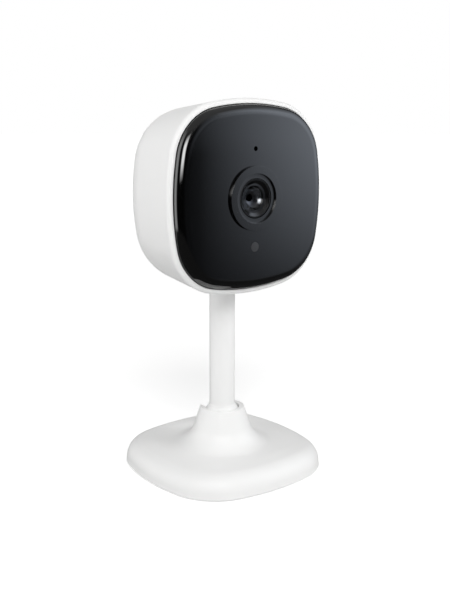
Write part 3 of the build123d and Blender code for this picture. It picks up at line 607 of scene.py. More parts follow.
def dress(piece: bpy.types.Object, slot: str, body: str, *nodes: str, finish: Finish | None = None) -> None:
    """Gives a new piece its finish and its body, and hides the CAD nodes that it stands for.

    Args:
        piece: the new piece.
        slot: the record's material slot.
        body: the body that the piece moves with.
        nodes: the CAD nodes that the piece replaces.
        finish: a finish in place of the slot's own one.
    """
    piece.data.materials.clear()
    piece.data.materials.append((finish or SLOT_FINISHES[slot]).build())
    even = piece.modifiers.new("even_shading", "WEIGHTED_NORMAL")
    even.keep_sharp = True
    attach(piece, body)
    if nodes:
        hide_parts(*nodes)
    LOG.info("%s: %d faces, rides on %s", piece.name, len(piece.data.polygons), body)


# The head's face, as the panel and the shell's rim follow it.
FACE = Outline(24.8, 67.5, 14.45)


@dataclass
class FacePanel:
    """Glossy black panel: a shallow dish with a rounded edge, a place for the lens and two small holes."""

    outline: Outline = FACE
    face_y: float = -14.85
    seat_y: float = -10.43
    edge_round: float = 2.9
    thickness: float = 2.0
    skirt: float = 1.6
    hem: float = 0.15
    hold: float = 0.25
    edge_steps: int = 28
    lens_hole: float = 7.7
    spot_height: float = 13.15
    mic_hole: float = 0.65
    window_hole: float = 1.4
    lens_columns: int = 96
    spot_columns: int = 40

    def build(self) -> None:
        """Rounded edge, side wall and skirt carried round the outline, with a flat face on each side.

        Along the edge the outline shrinks by radius times one less the sine, and the depth grows by radius times
        one less the cosine.
        """
        turn = np.linspace(0, pi / 2, self.edge_steps)
        inner_y = self.face_y + self.thickness
        growth = np.concatenate(
            [
                [-self.edge_round - self.hold],
                self.edge_round * (np.sin(turn) - 1),
                [0, -self.hem, -self.skirt, -self.skirt],
            ]
        )
        depth = np.concatenate(
            [
                [self.face_y],
                self.face_y + self.edge_round * (1 - np.cos(turn)),
                [self.seat_y - self.hem, self.seat_y, self.seat_y, inner_y],
            ]
        )
        loops = self.outline.loops(growth)
        shape = Shape().grid(Axis.LENS.place(loops, depth[:, None]))
        front, back = [], []
        holes = (
            (0.0, self.lens_hole, self.lens_columns),
            (self.spot_height, self.mic_hole, self.spot_columns),
            (-self.spot_height, self.window_hole, self.spot_columns),
        )
        for height, radius, columns in holes:
            rings = circles(np.full(2, radius), columns) + np.array([0, height])
            shape.grid(Axis.LENS.place(rings, np.array([self.face_y, inner_y])[:, None]))
            front.append(rings[0])
            back.append(rings[-1])
        shape.plate(loops[0], front, Axis.LENS, self.face_y)
        shape.plate(loops[-1], back, Axis.LENS, inner_y)
        dress(shape.build("face_panel"), "panel_black", "head", "front_panel")


@dataclass
class LensUnit:
    """Raised ring, barrel, bevelled retainer, front glass and the dark glass behind it, all turned."""

    face_y: float = -14.85
    ring_radius: float = 8.7
    ring_rise: float = 0.8
    ring_neck: float = 7.6
    ring_neck_length: float = 2.8
    ring_edge: float = 0.06
    step_radius: float = 6.6
    step_depth: float = 0.6
    opening: float = 5.4
    barrel_setback: float = 0.05
    barrel_radius: float = 5.3
    barrel_step: float = 4.0
    barrel_length: float = 13.8
    thread_radius: float = 6.0
    cap_radius: float = 4.9
    cap_length: float = 2.0
    cap_mouth: float = 4.85
    cap_bevel: float = 3.95
    cap_bevel_depth: float = 0.65
    cap_throat: float = 3.25
    throat_depth: float = 1.1
    throat_lip: float = 0.12
    cap_steps: int = 4
    window_radius: float = 3.15
    window_front: float = 0.6
    window_sag: float = 0.42
    window_thickness: float = 0.4
    glass_radius: float = 4.2
    glass_length: float = 2.8
    dish_rim: float = 1.5
    dish_radius: float = 3.9
    dish_hole: float = 1.1
    dish_steps: int = 16
    dish_shelf: float = 2.0
    dish_shelf_width: float = 0.14
    tunnel_radius: float = 2.6
    rear_radius: float = 3.0
    rear_length: float = 2.4
    gap: float = 0.05
    barrel_rounds: tuple[float, ...] = (0.08, 0.12, 0.05, 0.1, 0.2, 0, 0, 0.05, 0.05, 0, 0, 0)
    window_steps: int = 40
    columns: int = 144

    def __post_init__(self) -> None:
        """Works out places along the lens's axis."""
        self.ring_front = self.face_y - self.ring_rise
        self.step_y = self.ring_front + self.step_depth
        self.barrel_front = self.step_y + self.barrel_setback
        self.barrel_back = self.barrel_front + self.barrel_length
        self.glass_seat = self.barrel_front + self.cap_length
        self.glass_back = self.glass_seat + self.glass_length

    def turned(self, name: str, profile: Array, closed: bool = True) -> bpy.types.Object:
        """Piece whose profile of radius and depth is turned about the lens's axis."""
        return turned(name, profile, Axis.LENS, self.columns, closed)

    def ring(self) -> None:
        """Stepped ring that stands proud of the panel."""
        edge = self.ring_edge
        corners = stairs(
            [self.opening, self.step_radius, self.ring_radius, self.ring_neck, self.opening],
            [self.step_y, self.ring_front, self.face_y, self.face_y + self.ring_neck_length],
        )
        profile = rounded(corners, [0, edge, edge, edge, 0, 0, edge, edge])
        dress(self.turned("lens_bezel", profile), "ring_black", "head", "lens_ring")

    def barrel(self) -> None:
        """Barrel with its thread at the back."""
        bore = self.cap_radius + self.gap
        seat = self.glass_radius + self.gap
        rear = self.rear_radius + self.gap
        step = self.barrel_front + self.barrel_step
        rear_seat = self.barrel_back - self.rear_length
        corners = stairs(
            [bore, self.barrel_radius, self.thread_radius, rear, self.tunnel_radius, seat, bore],
            [self.barrel_front, step, self.barrel_back, rear_seat, self.glass_back, self.glass_seat],
        )
        profile = rounded(corners, self.barrel_rounds)
        dress(self.turned("barrel_shell", profile), "barrel_black", "head", "lens_barrel")

    def retainer(self) -> None:
        """Black ring whose mouth is bevelled, then cut into fine steps that keep stray light out.

        The steps follow a cone: each one goes straight in for its share of the depth, then straight across.
        """
        share = np.linspace(0, 1, self.cap_steps + 1)
        depth = self.cap_bevel_depth + share * (self.throat_depth - self.cap_bevel_depth)
        radius = self.cap_bevel + share * (self.cap_throat - self.cap_bevel)
        corners = [(self.cap_radius, self.cap_length), (self.cap_radius, 0.0), (self.cap_mouth, 0.0)]
        for across, start, end in zip(radius, depth, depth[1:]):
            corners += [(across, start), (across, end)]
        lip = self.throat_lip
        corners += [(self.cap_throat + lip, self.throat_depth), (self.cap_throat, self.throat_depth + lip)]
        corners.append((self.cap_throat, self.cap_length))
        profile = np.array(corners) + np.array([0.0, self.barrel_front])
        dress(self.turned("retainer_cone", profile), "ring_black", "head", "lens_retainer", finish=BLACK_CAP)

    def glass(self) -> None:
        """Coated front glass: a thin dome, whose depth is its rim's depth less its sag's share of a parabola."""
        front = np.linspace(0, self.window_radius, self.window_steps)
        dome = self.barrel_front + self.window_front + self.window_sag * (front / self.window_radius) ** 2
        radius = np.concatenate([front, front[::-1]])
        depth = np.concatenate([dome, dome[::-1] + self.window_thickness])
        piece = self.turned("front_glass", np.stack([radius, depth], axis=-1), closed=False)
        dress(piece, "lens_glass", "head", "front_lens")

    def inner_glass(self) -> None:
        """Dark hollow glass behind the front one, with a narrow shelf in its hollow and a small hole at its middle.

        The hollow's depth at a radius is the root of the sphere's radius squared less that radius squared.
        """
        rim = self.window_radius
        outer = np.linspace(rim, self.dish_shelf + self.dish_shelf_width, self.dish_steps)
        inner = np.linspace(self.dish_shelf, self.dish_hole, self.dish_steps)
        across = np.concatenate([outer, inner])
        rim_drop = sqrt(self.dish_radius**2 - rim**2)
        hollow = self.dish_rim + np.sqrt(self.dish_radius**2 - across**2) - rim_drop
        hollow[self.dish_steps] = hollow[self.dish_steps - 1]
        back = self.cap_length + self.glass_length
        body = [
            (self.dish_hole, back),
            (self.glass_radius, back),
            (self.glass_radius, self.cap_length),
            (rim, self.cap_length),
        ]
        profile = np.concatenate([np.stack([across, hollow], axis=-1), np.array(body)])
        profile = profile + np.array([0.0, self.barrel_front])
        dress(self.turned("inner_glass", profile), "lens_glass", "head", finish=DARK_GLASS)

    def build(self) -> None:
        """All pieces of the lens that show."""
        self.ring()
        self.barrel()
        self.retainer()
        self.glass()
        self.inner_glass()


@dataclass
class SensorWindow:
    """Smoked window under the lens, with a flange and a light pipe behind the panel."""

    front_y: float = -14.85
    panel_back_y: float = -12.85
    drop: float = 13.15
    radius: float = 1.35
    flange: float = 2.3
    flange_length: float = 0.8
    pipe: float = 1.0
    pipe_length: float = 2.75
    crown: float = 0.01
    front_steps: int = 12
    columns: int = 48

    def build(self) -> None:
        """Turned profile: a slightly crowned front, the flange and the pipe."""
        across = np.linspace(0, self.radius, self.front_steps)
        front = np.stack([across, self.front_y + self.crown * (across / self.radius) ** 2], axis=-1)
        flange_back = self.panel_back_y + self.flange_length
        rest = stairs(
            [self.radius, self.flange, self.pipe, 0.0],
            [self.panel_back_y, flange_back, self.panel_back_y + self.pipe_length],
        )
        profile = np.concatenate([front, rest])
        window = turned("window_lens", profile, Axis.LENS, self.columns, centre=(0.0, -self.drop))
        dress(window, "window_grey", "head", "sensor_window")


@dataclass
class HeadShell:
    """White shell of the head: open at the front, drawn in a little to a domed back."""

    outline: Outline = FACE
    rim_lip: float = 1.65
    rim_y: float = -12.43
    depth: float = 32.8
    wall: float = 2.0
    draft: float = 1.65
    dome_radius: float = 18.0
    rim_round: float = 1.2
    panel_gap: float = 0.1
    seat_depth: float = 2.0
    ledge: float = 1.1
    ledge_thickness: float = 1.5
    seat_bevel: float = 0.1
    dome_steps: int = 40
    side_steps: int = 14
    flat_steps: int = 8
    rim_steps: int = 12
    stem_hole: float = 3.75
    stem_columns: int = 96
    sound_height: float = 1.5
    sound_hole: float = 0.55
    sound_columns: int = 20
    sound_rings: tuple[tuple[float, int], ...] = ((0.0, 1), (2.2, 6), (4.4, 12))
    socket_drop: float = 14.5
    socket_width: float = 9.6
    socket_height: float = 3.8
    button_x: float = 9.0
    button_hole: float = 1.45
    button_columns: int = 40

    def __post_init__(self) -> None:
        """Works out the shell's half-width, the dome's middle and the slope that meets it."""
        self.half = self.outline.half + self.rim_lip
        self.back_y = self.rim_y + self.depth
        self.dome_y = self.back_y - self.dome_radius
        self.dome_middle = self.half - self.draft - self.dome_radius
        across = self.half - self.dome_middle
        along = self.dome_y - self.rim_y
        reach = sqrt(across**2 + along**2)
        self.slope = acos(self.dome_radius / reach) - atan2(along, across)

    def section(self, inset: float) -> tuple[Array, Array]:
        """Half-width and depth of the shell from its dome's middle to its rim, drawn in by an inset.

        The dome is a quarter circle that ends where its tangent reaches the rim, and the side is that tangent.
        """
        turn = np.linspace(pi / 2, self.slope, self.dome_steps)
        radius = self.dome_radius - inset
        dome = self.dome_middle + radius * np.cos(turn)
        dome_depth = self.dome_y + radius * np.sin(turn)
        flat = np.linspace(0, self.dome_middle, self.flat_steps, endpoint=False)
        along = np.linspace(0, 1, self.side_steps)[1:]
        ends = self.rim_y + (self.rim_round if inset == 0 else self.seat_depth + self.ledge_thickness)
        side_depth = dome_depth[-1] + along * (ends - dome_depth[-1])
        side = dome[-1] + (dome_depth[-1] - side_depth) * tan(self.slope)
        return (
            np.concatenate([flat, dome, side]),
            np.concatenate([np.full(flat.shape, self.back_y - inset), dome_depth, side_depth]),
        )

    def build(self) -> None:
        """Outer form, rim, panel seat and hollow as one closed shell, with its openings cut out.

        Each row is the outline scaled to the section's half-width, and the seat's rows are the panel's outline,
        grown.
        """
        outer_half, outer_depth = self.section(0.0)
        inner_half, inner_depth = self.section(self.wall)
        round_turn = np.linspace(0, pi / 2, self.rim_steps)[1:]
        round_half = outer_half[-1] - self.rim_round * (1 - np.cos(round_turn))
        round_depth = self.rim_y + self.rim_round * (1 - np.sin(round_turn))
        half = np.concatenate([outer_half, round_half])
        rim = self.outline.loops(np.array([self.rim_lip]))[0]
        outer = rim * (half / self.half)[:, None, None]
        seat_y = self.rim_y + self.seat_depth
        ledge_y = seat_y + self.ledge_thickness
        gap, bevel = self.panel_gap, self.seat_bevel
        seat = self.outline.loops(np.array([gap + bevel, gap, gap, -self.ledge, -self.ledge]))
        seat_depth = np.array([self.rim_y, self.rim_y + bevel, seat_y, seat_y, ledge_y])
        inner = rim * (inner_half[::-1] / self.half)[:, None, None]
        rows = np.concatenate([outer, seat, inner])
        depth = np.concatenate([outer_depth, round_depth, seat_depth, inner_depth[::-1]])
        shell = Shape().grid(Axis.LENS.place(rows, depth[:, None])).build("head_shell")
        cut(shell, self.openings())
        dress(shell, "shell_white", "head", "rear_shell")

    def openings(self) -> bpy.types.Object:
        """Tool for the sound holes, the socket's opening, the button's hole and the stem's hole."""
        tool = Shape()
        behind = self.back_y + self.wall
        hole = circles(self.sound_hole, self.sound_columns)[0]
        for radius, count in self.sound_rings:
            for number in range(count):
                turn = 2 * pi * number / count
                spot = (radius * cos(turn), self.sound_height + radius * sin(turn))
                tool.bar(hole, (self.back_y - 2 * self.wall, behind), Axis.LENS, spot)
        ends = (self.dome_y + 2 * self.wall, behind)
        slot = stadium(self.socket_width, self.socket_height, 0.0)[0]
        tool.bar(slot, ends, Axis.LENS, (0.0, -self.socket_drop))
        hole = circles(self.button_hole, self.button_columns)[0]
        tool.bar(hole, ends, Axis.LENS, (self.button_x, -self.socket_drop))
        bottom = HEAD_Z - self.half
        hole = circles(self.stem_hole, self.stem_columns)[0]
        tool.bar(hole, (bottom - 3 * self.wall, bottom + 3 * self.wall), Axis.STEM)
        return tool.build("openings")

    def back_depth(self, flat: Array) -> Array:
        """Depth of the dome's surface at points across the head.

        A point's half-width is its distance from the middle over the outline's own distance in that direction,
        and the dome's depth there is the height of its quarter circle.
        """
        rim = self.outline.loops(np.array([self.rim_lip]))[0]
        angle = np.arctan2(rim[:, 1], rim[:, 0])
        order = np.argsort(angle)
        distance = np.hypot(rim[:, 0], rim[:, 1])
        bearing = np.arctan2(flat[..., 1], flat[..., 0])
        reach = np.interp(bearing, angle[order], distance[order], period=2 * pi)
        half = self.half * np.hypot(flat[..., 0], flat[..., 1]) / reach
        beyond = np.clip(half - self.dome_middle, 0, self.dome_radius)
        return self.dome_y + np.sqrt(self.dome_radius**2 - beyond**2)


@dataclass
class RearPorts:
    """Power socket with its tongue and contacts, and the reset button beside it."""

    shell: HeadShell
    mouth_y: float = 17.07
    width: float = 9.0
    height: float = 3.2
    length: float = 7.4
    wall: float = 0.35
    lip: float = 0.08
    tongue: float = 0.7
    tongue_width: float = 5.8
    tongue_setback: float = 0.6
    tongue_bevel: float = 0.1
    tongue_columns: int = 24
    contact_count: int = 8
    contact_pitch: float = 0.6
    contact_width: float = 0.32
    contact_rise: float = 0.03
    contact_setback: float = 0.5
    contact_columns: int = 12
    button_radius: float = 1.4
    button_proud: float = 0.35
    button_edge: float = 0.25
    button_front_y: float = 13.12
    button_flange: float = 2.1
    button_flange_y: float = 13.47
    button_flange_length: float = 0.8
    button_pin: float = 0.8
    button_rows: int = 14
    button_columns: int = 40

    def __post_init__(self) -> None:
        """Takes the places of the socket and the button from the shell's openings."""
        self.socket_spot = (0.0, -self.shell.socket_drop)
        self.button_spot = (self.shell.button_x, -self.shell.socket_drop)

    def socket(self) -> None:
        """Rounded metal shell, in stadium loops from its closed end round its mouth to its floor, and its tongue."""
        front = self.mouth_y - self.length
        floor = front + self.tongue
        lip, wall = self.lip, self.wall
        growth = np.array([0, -lip, 0, 0, -lip, -wall + lip, -wall, -wall, -wall])
        scale = np.array([0, 1, 1, 1, 1, 1, 1, 1, 0])
        mouth = [self.mouth_y - lip, self.mouth_y, self.mouth_y, self.mouth_y - lip]
        depth = np.array([front, front, front + lip, *mouth, floor, floor])
        rows = stadium(self.width, self.height, growth) * scale[:, None, None]
        grid = Axis.LENS.place(rows, depth[:, None], self.socket_spot)
        dress(Shape().grid(grid).build("socket_can"), "steel", "head", "power_socket")

        bevel = self.tongue_bevel
        tip = self.mouth_y - self.tongue_setback
        growth = np.array([0, 0, 0, -bevel, -bevel])
        scale = np.array([0, 1, 1, 1, 0])
        depth = np.array([floor, floor, tip - bevel, tip, tip])
        rows = stadium(self.tongue_width, self.tongue, growth, self.tongue_columns) * scale[:, None, None]
        grid = Axis.LENS.place(rows, depth[:, None], self.socket_spot)
        dress(Shape().grid(grid).build("socket_tongue"), "inner_black", "head")
        self.contacts(floor, tip - self.contact_setback)

    def contacts(self, start: float, end: float) -> None:
        """Gilt strips on both faces of the tongue, each a thin rounded bar along the socket."""
        shape = Shape()
        loop = stadium(self.contact_width, 2 * self.contact_rise, 0.0, self.contact_columns)[0]
        for side in (-1, 1):
            for number in range(self.contact_count):
                across = (number - (self.contact_count - 1) / 2) * self.contact_pitch
                spot = (across, side * self.tongue / 2 + self.socket_spot[1])
                shape.bar(loop, (start, end), Axis.LENS, spot)
        dress(shape.build("socket_contacts"), "steel", "head", finish=GOLD)

    def button(self) -> None:
        """Round button whose end follows the dome, with its flange and pin.

        The end's depth is the dome's depth at each point, plus how proud it stands, less a rounding near its edge.
        """
        share = np.linspace(0, 1, self.button_rows)
        end = circles(self.button_radius * share, self.button_columns)
        spot = np.array(self.button_spot)
        fall = np.clip((share - 1) * self.button_radius + self.button_edge, 0, None)[:, None]
        round_off = self.button_edge - np.sqrt(np.clip(self.button_edge**2 - fall**2, 0, None))
        end_depth = self.shell.back_depth(end + spot) + self.button_proud - round_off
        flange_back = self.button_flange_y + self.button_flange_length
        profile = stairs(
            [self.button_radius, self.button_flange, self.button_pin, 0.0],
            [flange_back, self.button_flange_y, self.button_front_y],
        )
        rest = circles(profile[:, 0], self.button_columns)
        rest_depth = np.broadcast_to(profile[:, 1:], rest.shape[:2])
        rows = np.concatenate([end, rest])
        grid = Axis.LENS.place(rows, np.concatenate([end_depth, rest_depth]), self.button_spot)
        dress(Shape().grid(grid).build("reset_cap"), "button_grey", "button", "reset_button")

    def build(self) -> None:
        """Socket and button."""
        self.socket()
        self.button()


@dataclass
class Stem:
    """Slim round stem with a hollow foot, on the ball that it turns with."""

    radius: float = 3.7
    bore: float = 2.4
    ball_radius: float = 5.5
    seat_radius: float = 5.62
    flange: float = 5.4
    flange_length: float = 2.0
    pad_z: float = 58.8
    flare_width: float = 0.2
    flare_height: float = 0.6
    flare_steps: int = 8
    foot_steps: int = 10
    ball_rows: int = 49
    columns: int = 96

    def build(self) -> None:
        """Turned tube whose foot is hollowed to the ball's curve and flares on to it, and the whole ball.

        The foot's height at a radius is the root of the seat radius squared less that radius squared. The flare
        is a quarter ellipse that starts upright at the stem and ends level on the ball.
        """
        edge = self.radius + self.flare_width
        across = np.linspace(self.bore, edge, self.foot_steps)
        foot = np.stack([across, BALL_Z + np.sqrt(self.seat_radius**2 - across**2)], axis=-1)
        turn = np.linspace(0, pi / 2, self.flare_steps)[1:]
        flare = np.stack(
            [edge - self.flare_width * np.sin(turn), foot[-1, 1] + self.flare_height * (1 - np.cos(turn))], axis=-1
        )
        top = self.pad_z + self.flange_length
        rest = [
            (self.radius, (foot[-1, 1] + self.pad_z) / 2),
            (self.radius, self.pad_z),
            (self.flange, self.pad_z),
            (self.flange, top),
            (self.bore, top),
        ]
        profile = np.concatenate([foot, flare, np.array(rest)])
        dress(turned("stem", profile, Axis.STEM, self.columns, closed=True), "stem_white", "head", "stem_tube")

        rise = np.linspace(-pi / 2, pi / 2, self.ball_rows)
        profile = np.stack([self.ball_radius * np.cos(rise), BALL_Z + self.ball_radius * np.sin(rise)], axis=-1)
        dress(turned("ball", profile, Axis.STEM, self.columns), "ball_white", "ball", "joint_ball")


@dataclass
class Base:
    """White base: a low rounded square whose top runs up a cone into the collar round the ball."""

    outline: Outline = Outline(26.2, 56.0, 16.0)
    skirt_z: float = 0.3
    height: float = 6.7
    draft: float = 6.0
    shoulder_drop: float = 0.65
    shoulder_width: float = 8.0
    edge_round: float = 5.0
    shoulder_round: float = 20.0
    flat_reach: float = 1.0
    wall: float = 2.0
    hem: float = 0.25
    collar_height: float = 17.6
    collar_radius: float = 6.5
    collar_mouth: float = 5.0
    collar_edge: float = 0.25
    mouth_edge: float = 0.2
    neck_draft: float = 17.4
    foot_round: float = 6.8
    seat_radius: float = 5.62
    tilt_back: float = 80.0
    slot_half: float = 4.5
    arc_steps: int = 22
    flat_steps: int = 6
    seat_steps: int = 8
    slot_columns: int = 64

    def __post_init__(self) -> None:
        """Works out the top's height, the cone's radius at its foot and the height of the seat's lip."""
        self.top_z = self.skirt_z + self.height
        self.foot_radius = self.collar_radius + (self.collar_height - self.top_z) * tan(radians(self.neck_draft))
        self.lip_z = BALL_Z + sqrt(self.seat_radius**2 - self.collar_mouth**2)

    def side_line(self, wall: float, hem: float) -> Array:
        """Inset and height from the bottom rim up the drafted side and over the shoulder to the top.

        Args:
            wall: how far the line is drawn in, and down, from the outside.
            hem: size of the bevel at the bottom rim.

        Returns:
            One row of inset and height for each point, with arcs at the shoulder and at the top.
        """
        lean = tan(radians(self.draft))
        top = self.top_z - wall
        shoulder = top - self.shoulder_drop
        corners = [
            (wall + hem, self.skirt_z),
            (wall + hem * lean, self.skirt_z + hem),
            (wall + (shoulder - self.skirt_z) * lean, shoulder),
            (self.shoulder_width, top),
            (self.shoulder_width + self.flat_reach, top),
        ]
        return rounded(corners, [0, 0, self.edge_round - wall, self.shoulder_round, 0], self.arc_steps, closed=False)

    def neck_profile(self) -> Array:
        """Radius and height from the cone's foot, up to the collar and over its edge into the ball's seat."""
        corners = [
            (self.foot_radius + self.foot_round, self.top_z),
            (self.foot_radius, self.top_z),
            (self.collar_radius, self.collar_height),
            (self.collar_mouth, self.collar_height),
            (self.collar_mouth, self.lip_z),
        ]
        rounds = [0, self.foot_round, self.collar_edge, self.mouth_edge, 0]
        outside = rounded(corners, rounds, self.arc_steps, closed=False)
        lip = np.arccos(self.collar_mouth / self.seat_radius)
        turn = np.linspace(lip, 0, self.seat_steps)[1:]
        seat = np.stack([self.seat_radius * np.cos(turn), BALL_Z + self.seat_radius * np.sin(turn)], axis=-1)
        return np.concatenate([outside, seat])

    def build(self) -> None:
        """Side, flat top, neck and hollow as one closed form, with the slot behind the collar cut out.

        Rows of the flat top go evenly from the outline to a circle, point by point at the same angles.
        """
        outside = self.side_line(0.0, self.hem)
        inside = self.side_line(self.wall, 0.0)[::-1]
        side = self.outline.loops(-outside[:, 0])
        neck = self.neck_profile()
        unit = side[-1] / np.linalg.norm(side[-1], axis=-1, keepdims=True)
        share = np.linspace(0, 1, self.flat_steps)[1:-1, None, None]
        top = side[-1] * (1 - share) + neck[0, 0] * unit * share
        round_rows = neck[:, 0][:, None, None] * unit
        roof = self.seat_radius * unit[None]
        rows = np.concatenate([side, top, round_rows, roof, self.outline.loops(-inside[:, 0])])
        level = np.full(len(top), self.top_z)
        height = np.concatenate([outside[:, 1], level, neck[:, 1], [self.top_z - self.wall], inside[:, 1]])
        base = Shape().grid(Axis.STEM.place(rows, height[:, None]), closed=True).build("base_body")
        cut(base, self.slot_wedge())
        cut(base, self.slot_channel())
        dress(base, "shell_white", "base", "base_shell")

    def slot_wedge(self) -> bpy.types.Object:
        """Tool for the slot's open part: a wedge from the ball's middle, between upright and the fold-back angle."""
        turn = radians(self.tilt_back)
        reach = self.outline.half
        side = np.array(
            [
                (0.0, BALL_Z),
                (reach * sin(turn), BALL_Z + reach * cos(turn)),
                (reach, self.collar_height + reach),
                (0.0, self.collar_height + reach),
            ]
        )
        across = np.array([-1, -1, 1, 1]) * self.slot_half
        rows = side[None] - np.array([1, 0, 0, 1])[:, None, None] * (side - side.mean(axis=0))[None]
        points = np.concatenate([np.broadcast_to(across[:, None, None], (4, 4, 1)), rows], axis=-1)
        return Shape().grid(points).build("slot_wedge")

    def slot_channel(self) -> bpy.types.Object:
        """Tool for the slot's round floor: a cylinder from the ball's middle along the folded stem."""
        turn = radians(self.tilt_back)
        along = np.array([0, 0, 1, 1]) * self.outline.half
        ring = circles(self.slot_half * np.array([0, 1, 1, 0]), self.slot_columns)
        direction = np.array([0, sin(turn), cos(turn)])
        upright = np.array([0, -cos(turn), sin(turn)])
        points = (
            along[:, None, None] * direction
            + ring[..., :1] * np.array([1.0, 0, 0])
            + ring[..., 1:] * upright
            + np.array([0, 0, BALL_Z])
        )
        return Shape().grid(points).build("slot_channel")


@dataclass
class Inside:
    """Pieces that keep their own form: the inner parts of the head and the parts under the base."""

    record: dict

    def build(self) -> None:
        """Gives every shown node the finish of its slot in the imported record."""
        slots = {part["node"]: part["material_slot"] for part in self.record["subparts"]}
        for name, node in frame["nodes"].items():
            if node.hide_render:
                continue
            node.data.materials.clear()
            node.data.materials.append(SLOT_FINISHES[slots[name]].build())
            LOG.info("%s keeps its form, in %s", name, slots[name])


def direction(azimuth: float, elevation: float) -> Vector:
    """Direction at an angle round from the front and an angle above the floor, in degrees."""
    turn, rise = radians(azimuth), radians(elevation)
    return Vector((sin(turn) * cos(rise), -cos(turn) * cos(rise), sin(rise)))


@dataclass(frozen=True)
class SoftLamp:
    """Square soft lamp, placed by its angle round the object and its angle above the floor."""

    name: str
    azimuth: float
    elevation: float
    power: float
    size: float = 0.6
    distance: float = 1.2

    def build(self) -> None:
        """Adds the lamp, which faces the middle of the object."""
        aim = Vector((0.0, 0.0, HEAD_Z * MM))
        away = direction(self.azimuth, self.elevation)
        data = bpy.data.lights.new(self.name, "AREA")
        data.size = self.size
        data.energy = self.power
        lamp = add_object(self.name, data)
        lamp.location = aim + away * self.distance
        lamp.rotation_mode = "QUATERNION"
        lamp.rotation_quaternion = away.to_track_quat("Z", "Y")
        LOG.info("%s lamp: %.1f W", self.name, self.power)


def ramp(value: Array, ends: Point) -> Array:
    """Goes evenly from 0 at the first end to 1 at the second, which may be the lower one."""
    return np.clip((value - ends[0]) / (ends[1] - ends[0]), 0, 1)


@dataclass(frozen=True)
class GlowCard:
    """Bright card of the surround, with four edges that fade evenly from their first value to their second."""

    strength: float
    left: Point
    right: Point
    foot: Point
    top: Point
    tint: Colour = (1.0, 1.0, 1.0)

    def glow(self, angle: Array, height: Array) -> Array:
        """Light of the card at each point: its strength times the ramp of each edge, in its tint."""
        share = ramp(angle, self.left) * ramp(angle, self.right) * ramp(height, self.foot) * ramp(height, self.top)
        return self.strength * share[..., None] * np.array(self.tint)


# Tint of the light from the right, and the edges of cards that go all round, all the way down or up to the top.
COOL = (0.92, 1.0, 1.13)
ALL_LEFT = (-181.0, -180.0)
ALL_RIGHT = (181.0, 180.0)
ALL_HEIGHT = (-2.0, -1.0)
TO_TOP = (460.0, 455.0)

# Strength, then the left and right edges in degrees round from the front, and the lower and upper ones in
# millimetres: heights on the wall, and distances from the middle on the floor.
WALL_CARDS = (
    GlowCard(1.6, (29.5, 46.5), (105.0, 60.0), (-6.0, 88.0), (330.0, 230.0), COOL),
    GlowCard(0.65, (-5.0, 40.0), (46.5, 29.5), (80.0, 150.0), (330.0, 230.0), COOL),
    GlowCard(2.25, (-165.0, -150.0), (-82.0, -92.0), (-100.0, 20.0), (330.0, 215.0)),
    GlowCard(0.4, ALL_LEFT, (-150.0, -165.0), ALL_HEIGHT, (400.0, 280.0)),
    GlowCard(9.0, (-64.0, -56.0), (-32.0, -40.0), (92.0, 125.0), (275.0, 195.0)),
    GlowCard(0.75, (125.0, 145.0), ALL_RIGHT, (0.0, 200.0), (400.0, 280.0)),
    GlowCard(0.03, (-20.0, -5.0), (120.0, 100.0), ALL_HEIGHT, TO_TOP, COOL),
    GlowCard(0.3, ALL_LEFT, ALL_RIGHT, (230.0, 330.0), TO_TOP),
)
FLOOR_CARDS = (
    GlowCard(1.0, ALL_LEFT, (-100.0, -125.0), (180.0, 250.0), TO_TOP),
    GlowCard(0.25, (25.0, 45.0), (100.0, 70.0), (120.0, 250.0), TO_TOP, COOL),
    GlowCard(0.05, ALL_LEFT, ALL_RIGHT, ALL_HEIGHT, TO_TOP),
)


@dataclass
class GlossSurround:
    """Dark dome and floor that only polished surfaces see, lit by cards to the left, above and to the right."""

    radius: float = 250.0
    height: float = 450.0
    lift: float = 1.0
    floor_rows: int = 16
    rows: int = 72
    columns: int = 240
    dark: float = 0.005

    def build(self) -> None:
        """Floor disc and half sphere, stretched upwards, that keep their light as a colour at each point."""
        rise = np.linspace(0, pi / 2, self.rows)
        reach = np.linspace(0, 1, self.floor_rows, endpoint=False)
        rings = circles(self.radius * np.concatenate([reach, np.cos(rise)]), self.columns)
        level = self.lift + self.height * np.concatenate([0 * reach, np.sin(rise)])
        dome = Shape().grid(Axis.STEM.place(rings, level[:, None])).build("gloss_surround")
        spots = np.empty(3 * len(dome.data.vertices))
        dome.data.vertices.foreach_get("co", spots)
        glow = dome.data.attributes.new("glow", "FLOAT_COLOR", "POINT")
        glow.data.foreach_set("color", self.light(spots.reshape(-1, 3) / MM).ravel())
        dome.data.materials.append(self.material())
        for ray in ("camera", "diffuse", "volume_scatter", "shadow"):
            setattr(dome, f"visible_{ray}", False)

    def light(self, spots: Array) -> Array:
        """Colour at each point: the sum of the cards on the wall by its height, or on the floor by its reach."""
        x, y, z = spots.T
        angle = np.degrees(np.arctan2(x, -y))
        wall = sum(card.glow(angle, z) for card in WALL_CARDS)
        floor = sum(card.glow(angle, np.hypot(x, y)) for card in FLOOR_CARDS)
        light = np.where((z > 2 * self.lift)[:, None], wall, floor) + self.dark
        return np.concatenate([light, np.ones((len(light), 1))], axis=1)

    @staticmethod
    def material() -> bpy.types.Material:
        """Glow in the colour that the dome's points carry, which lights nothing by itself."""
        material, wiring = new_material("gloss_surround")
        material.cycles.emission_sampling = "NONE"
        glow = wiring.node("ShaderNodeAttribute", attribute_name="glow").outputs["Color"]
        shine = wiring.node("ShaderNodeEmission", {"Color": glow, "Strength": 1.0})
        wiring.node("ShaderNodeOutputMaterial", {"Surface": shine.outputs[0]})
        return material


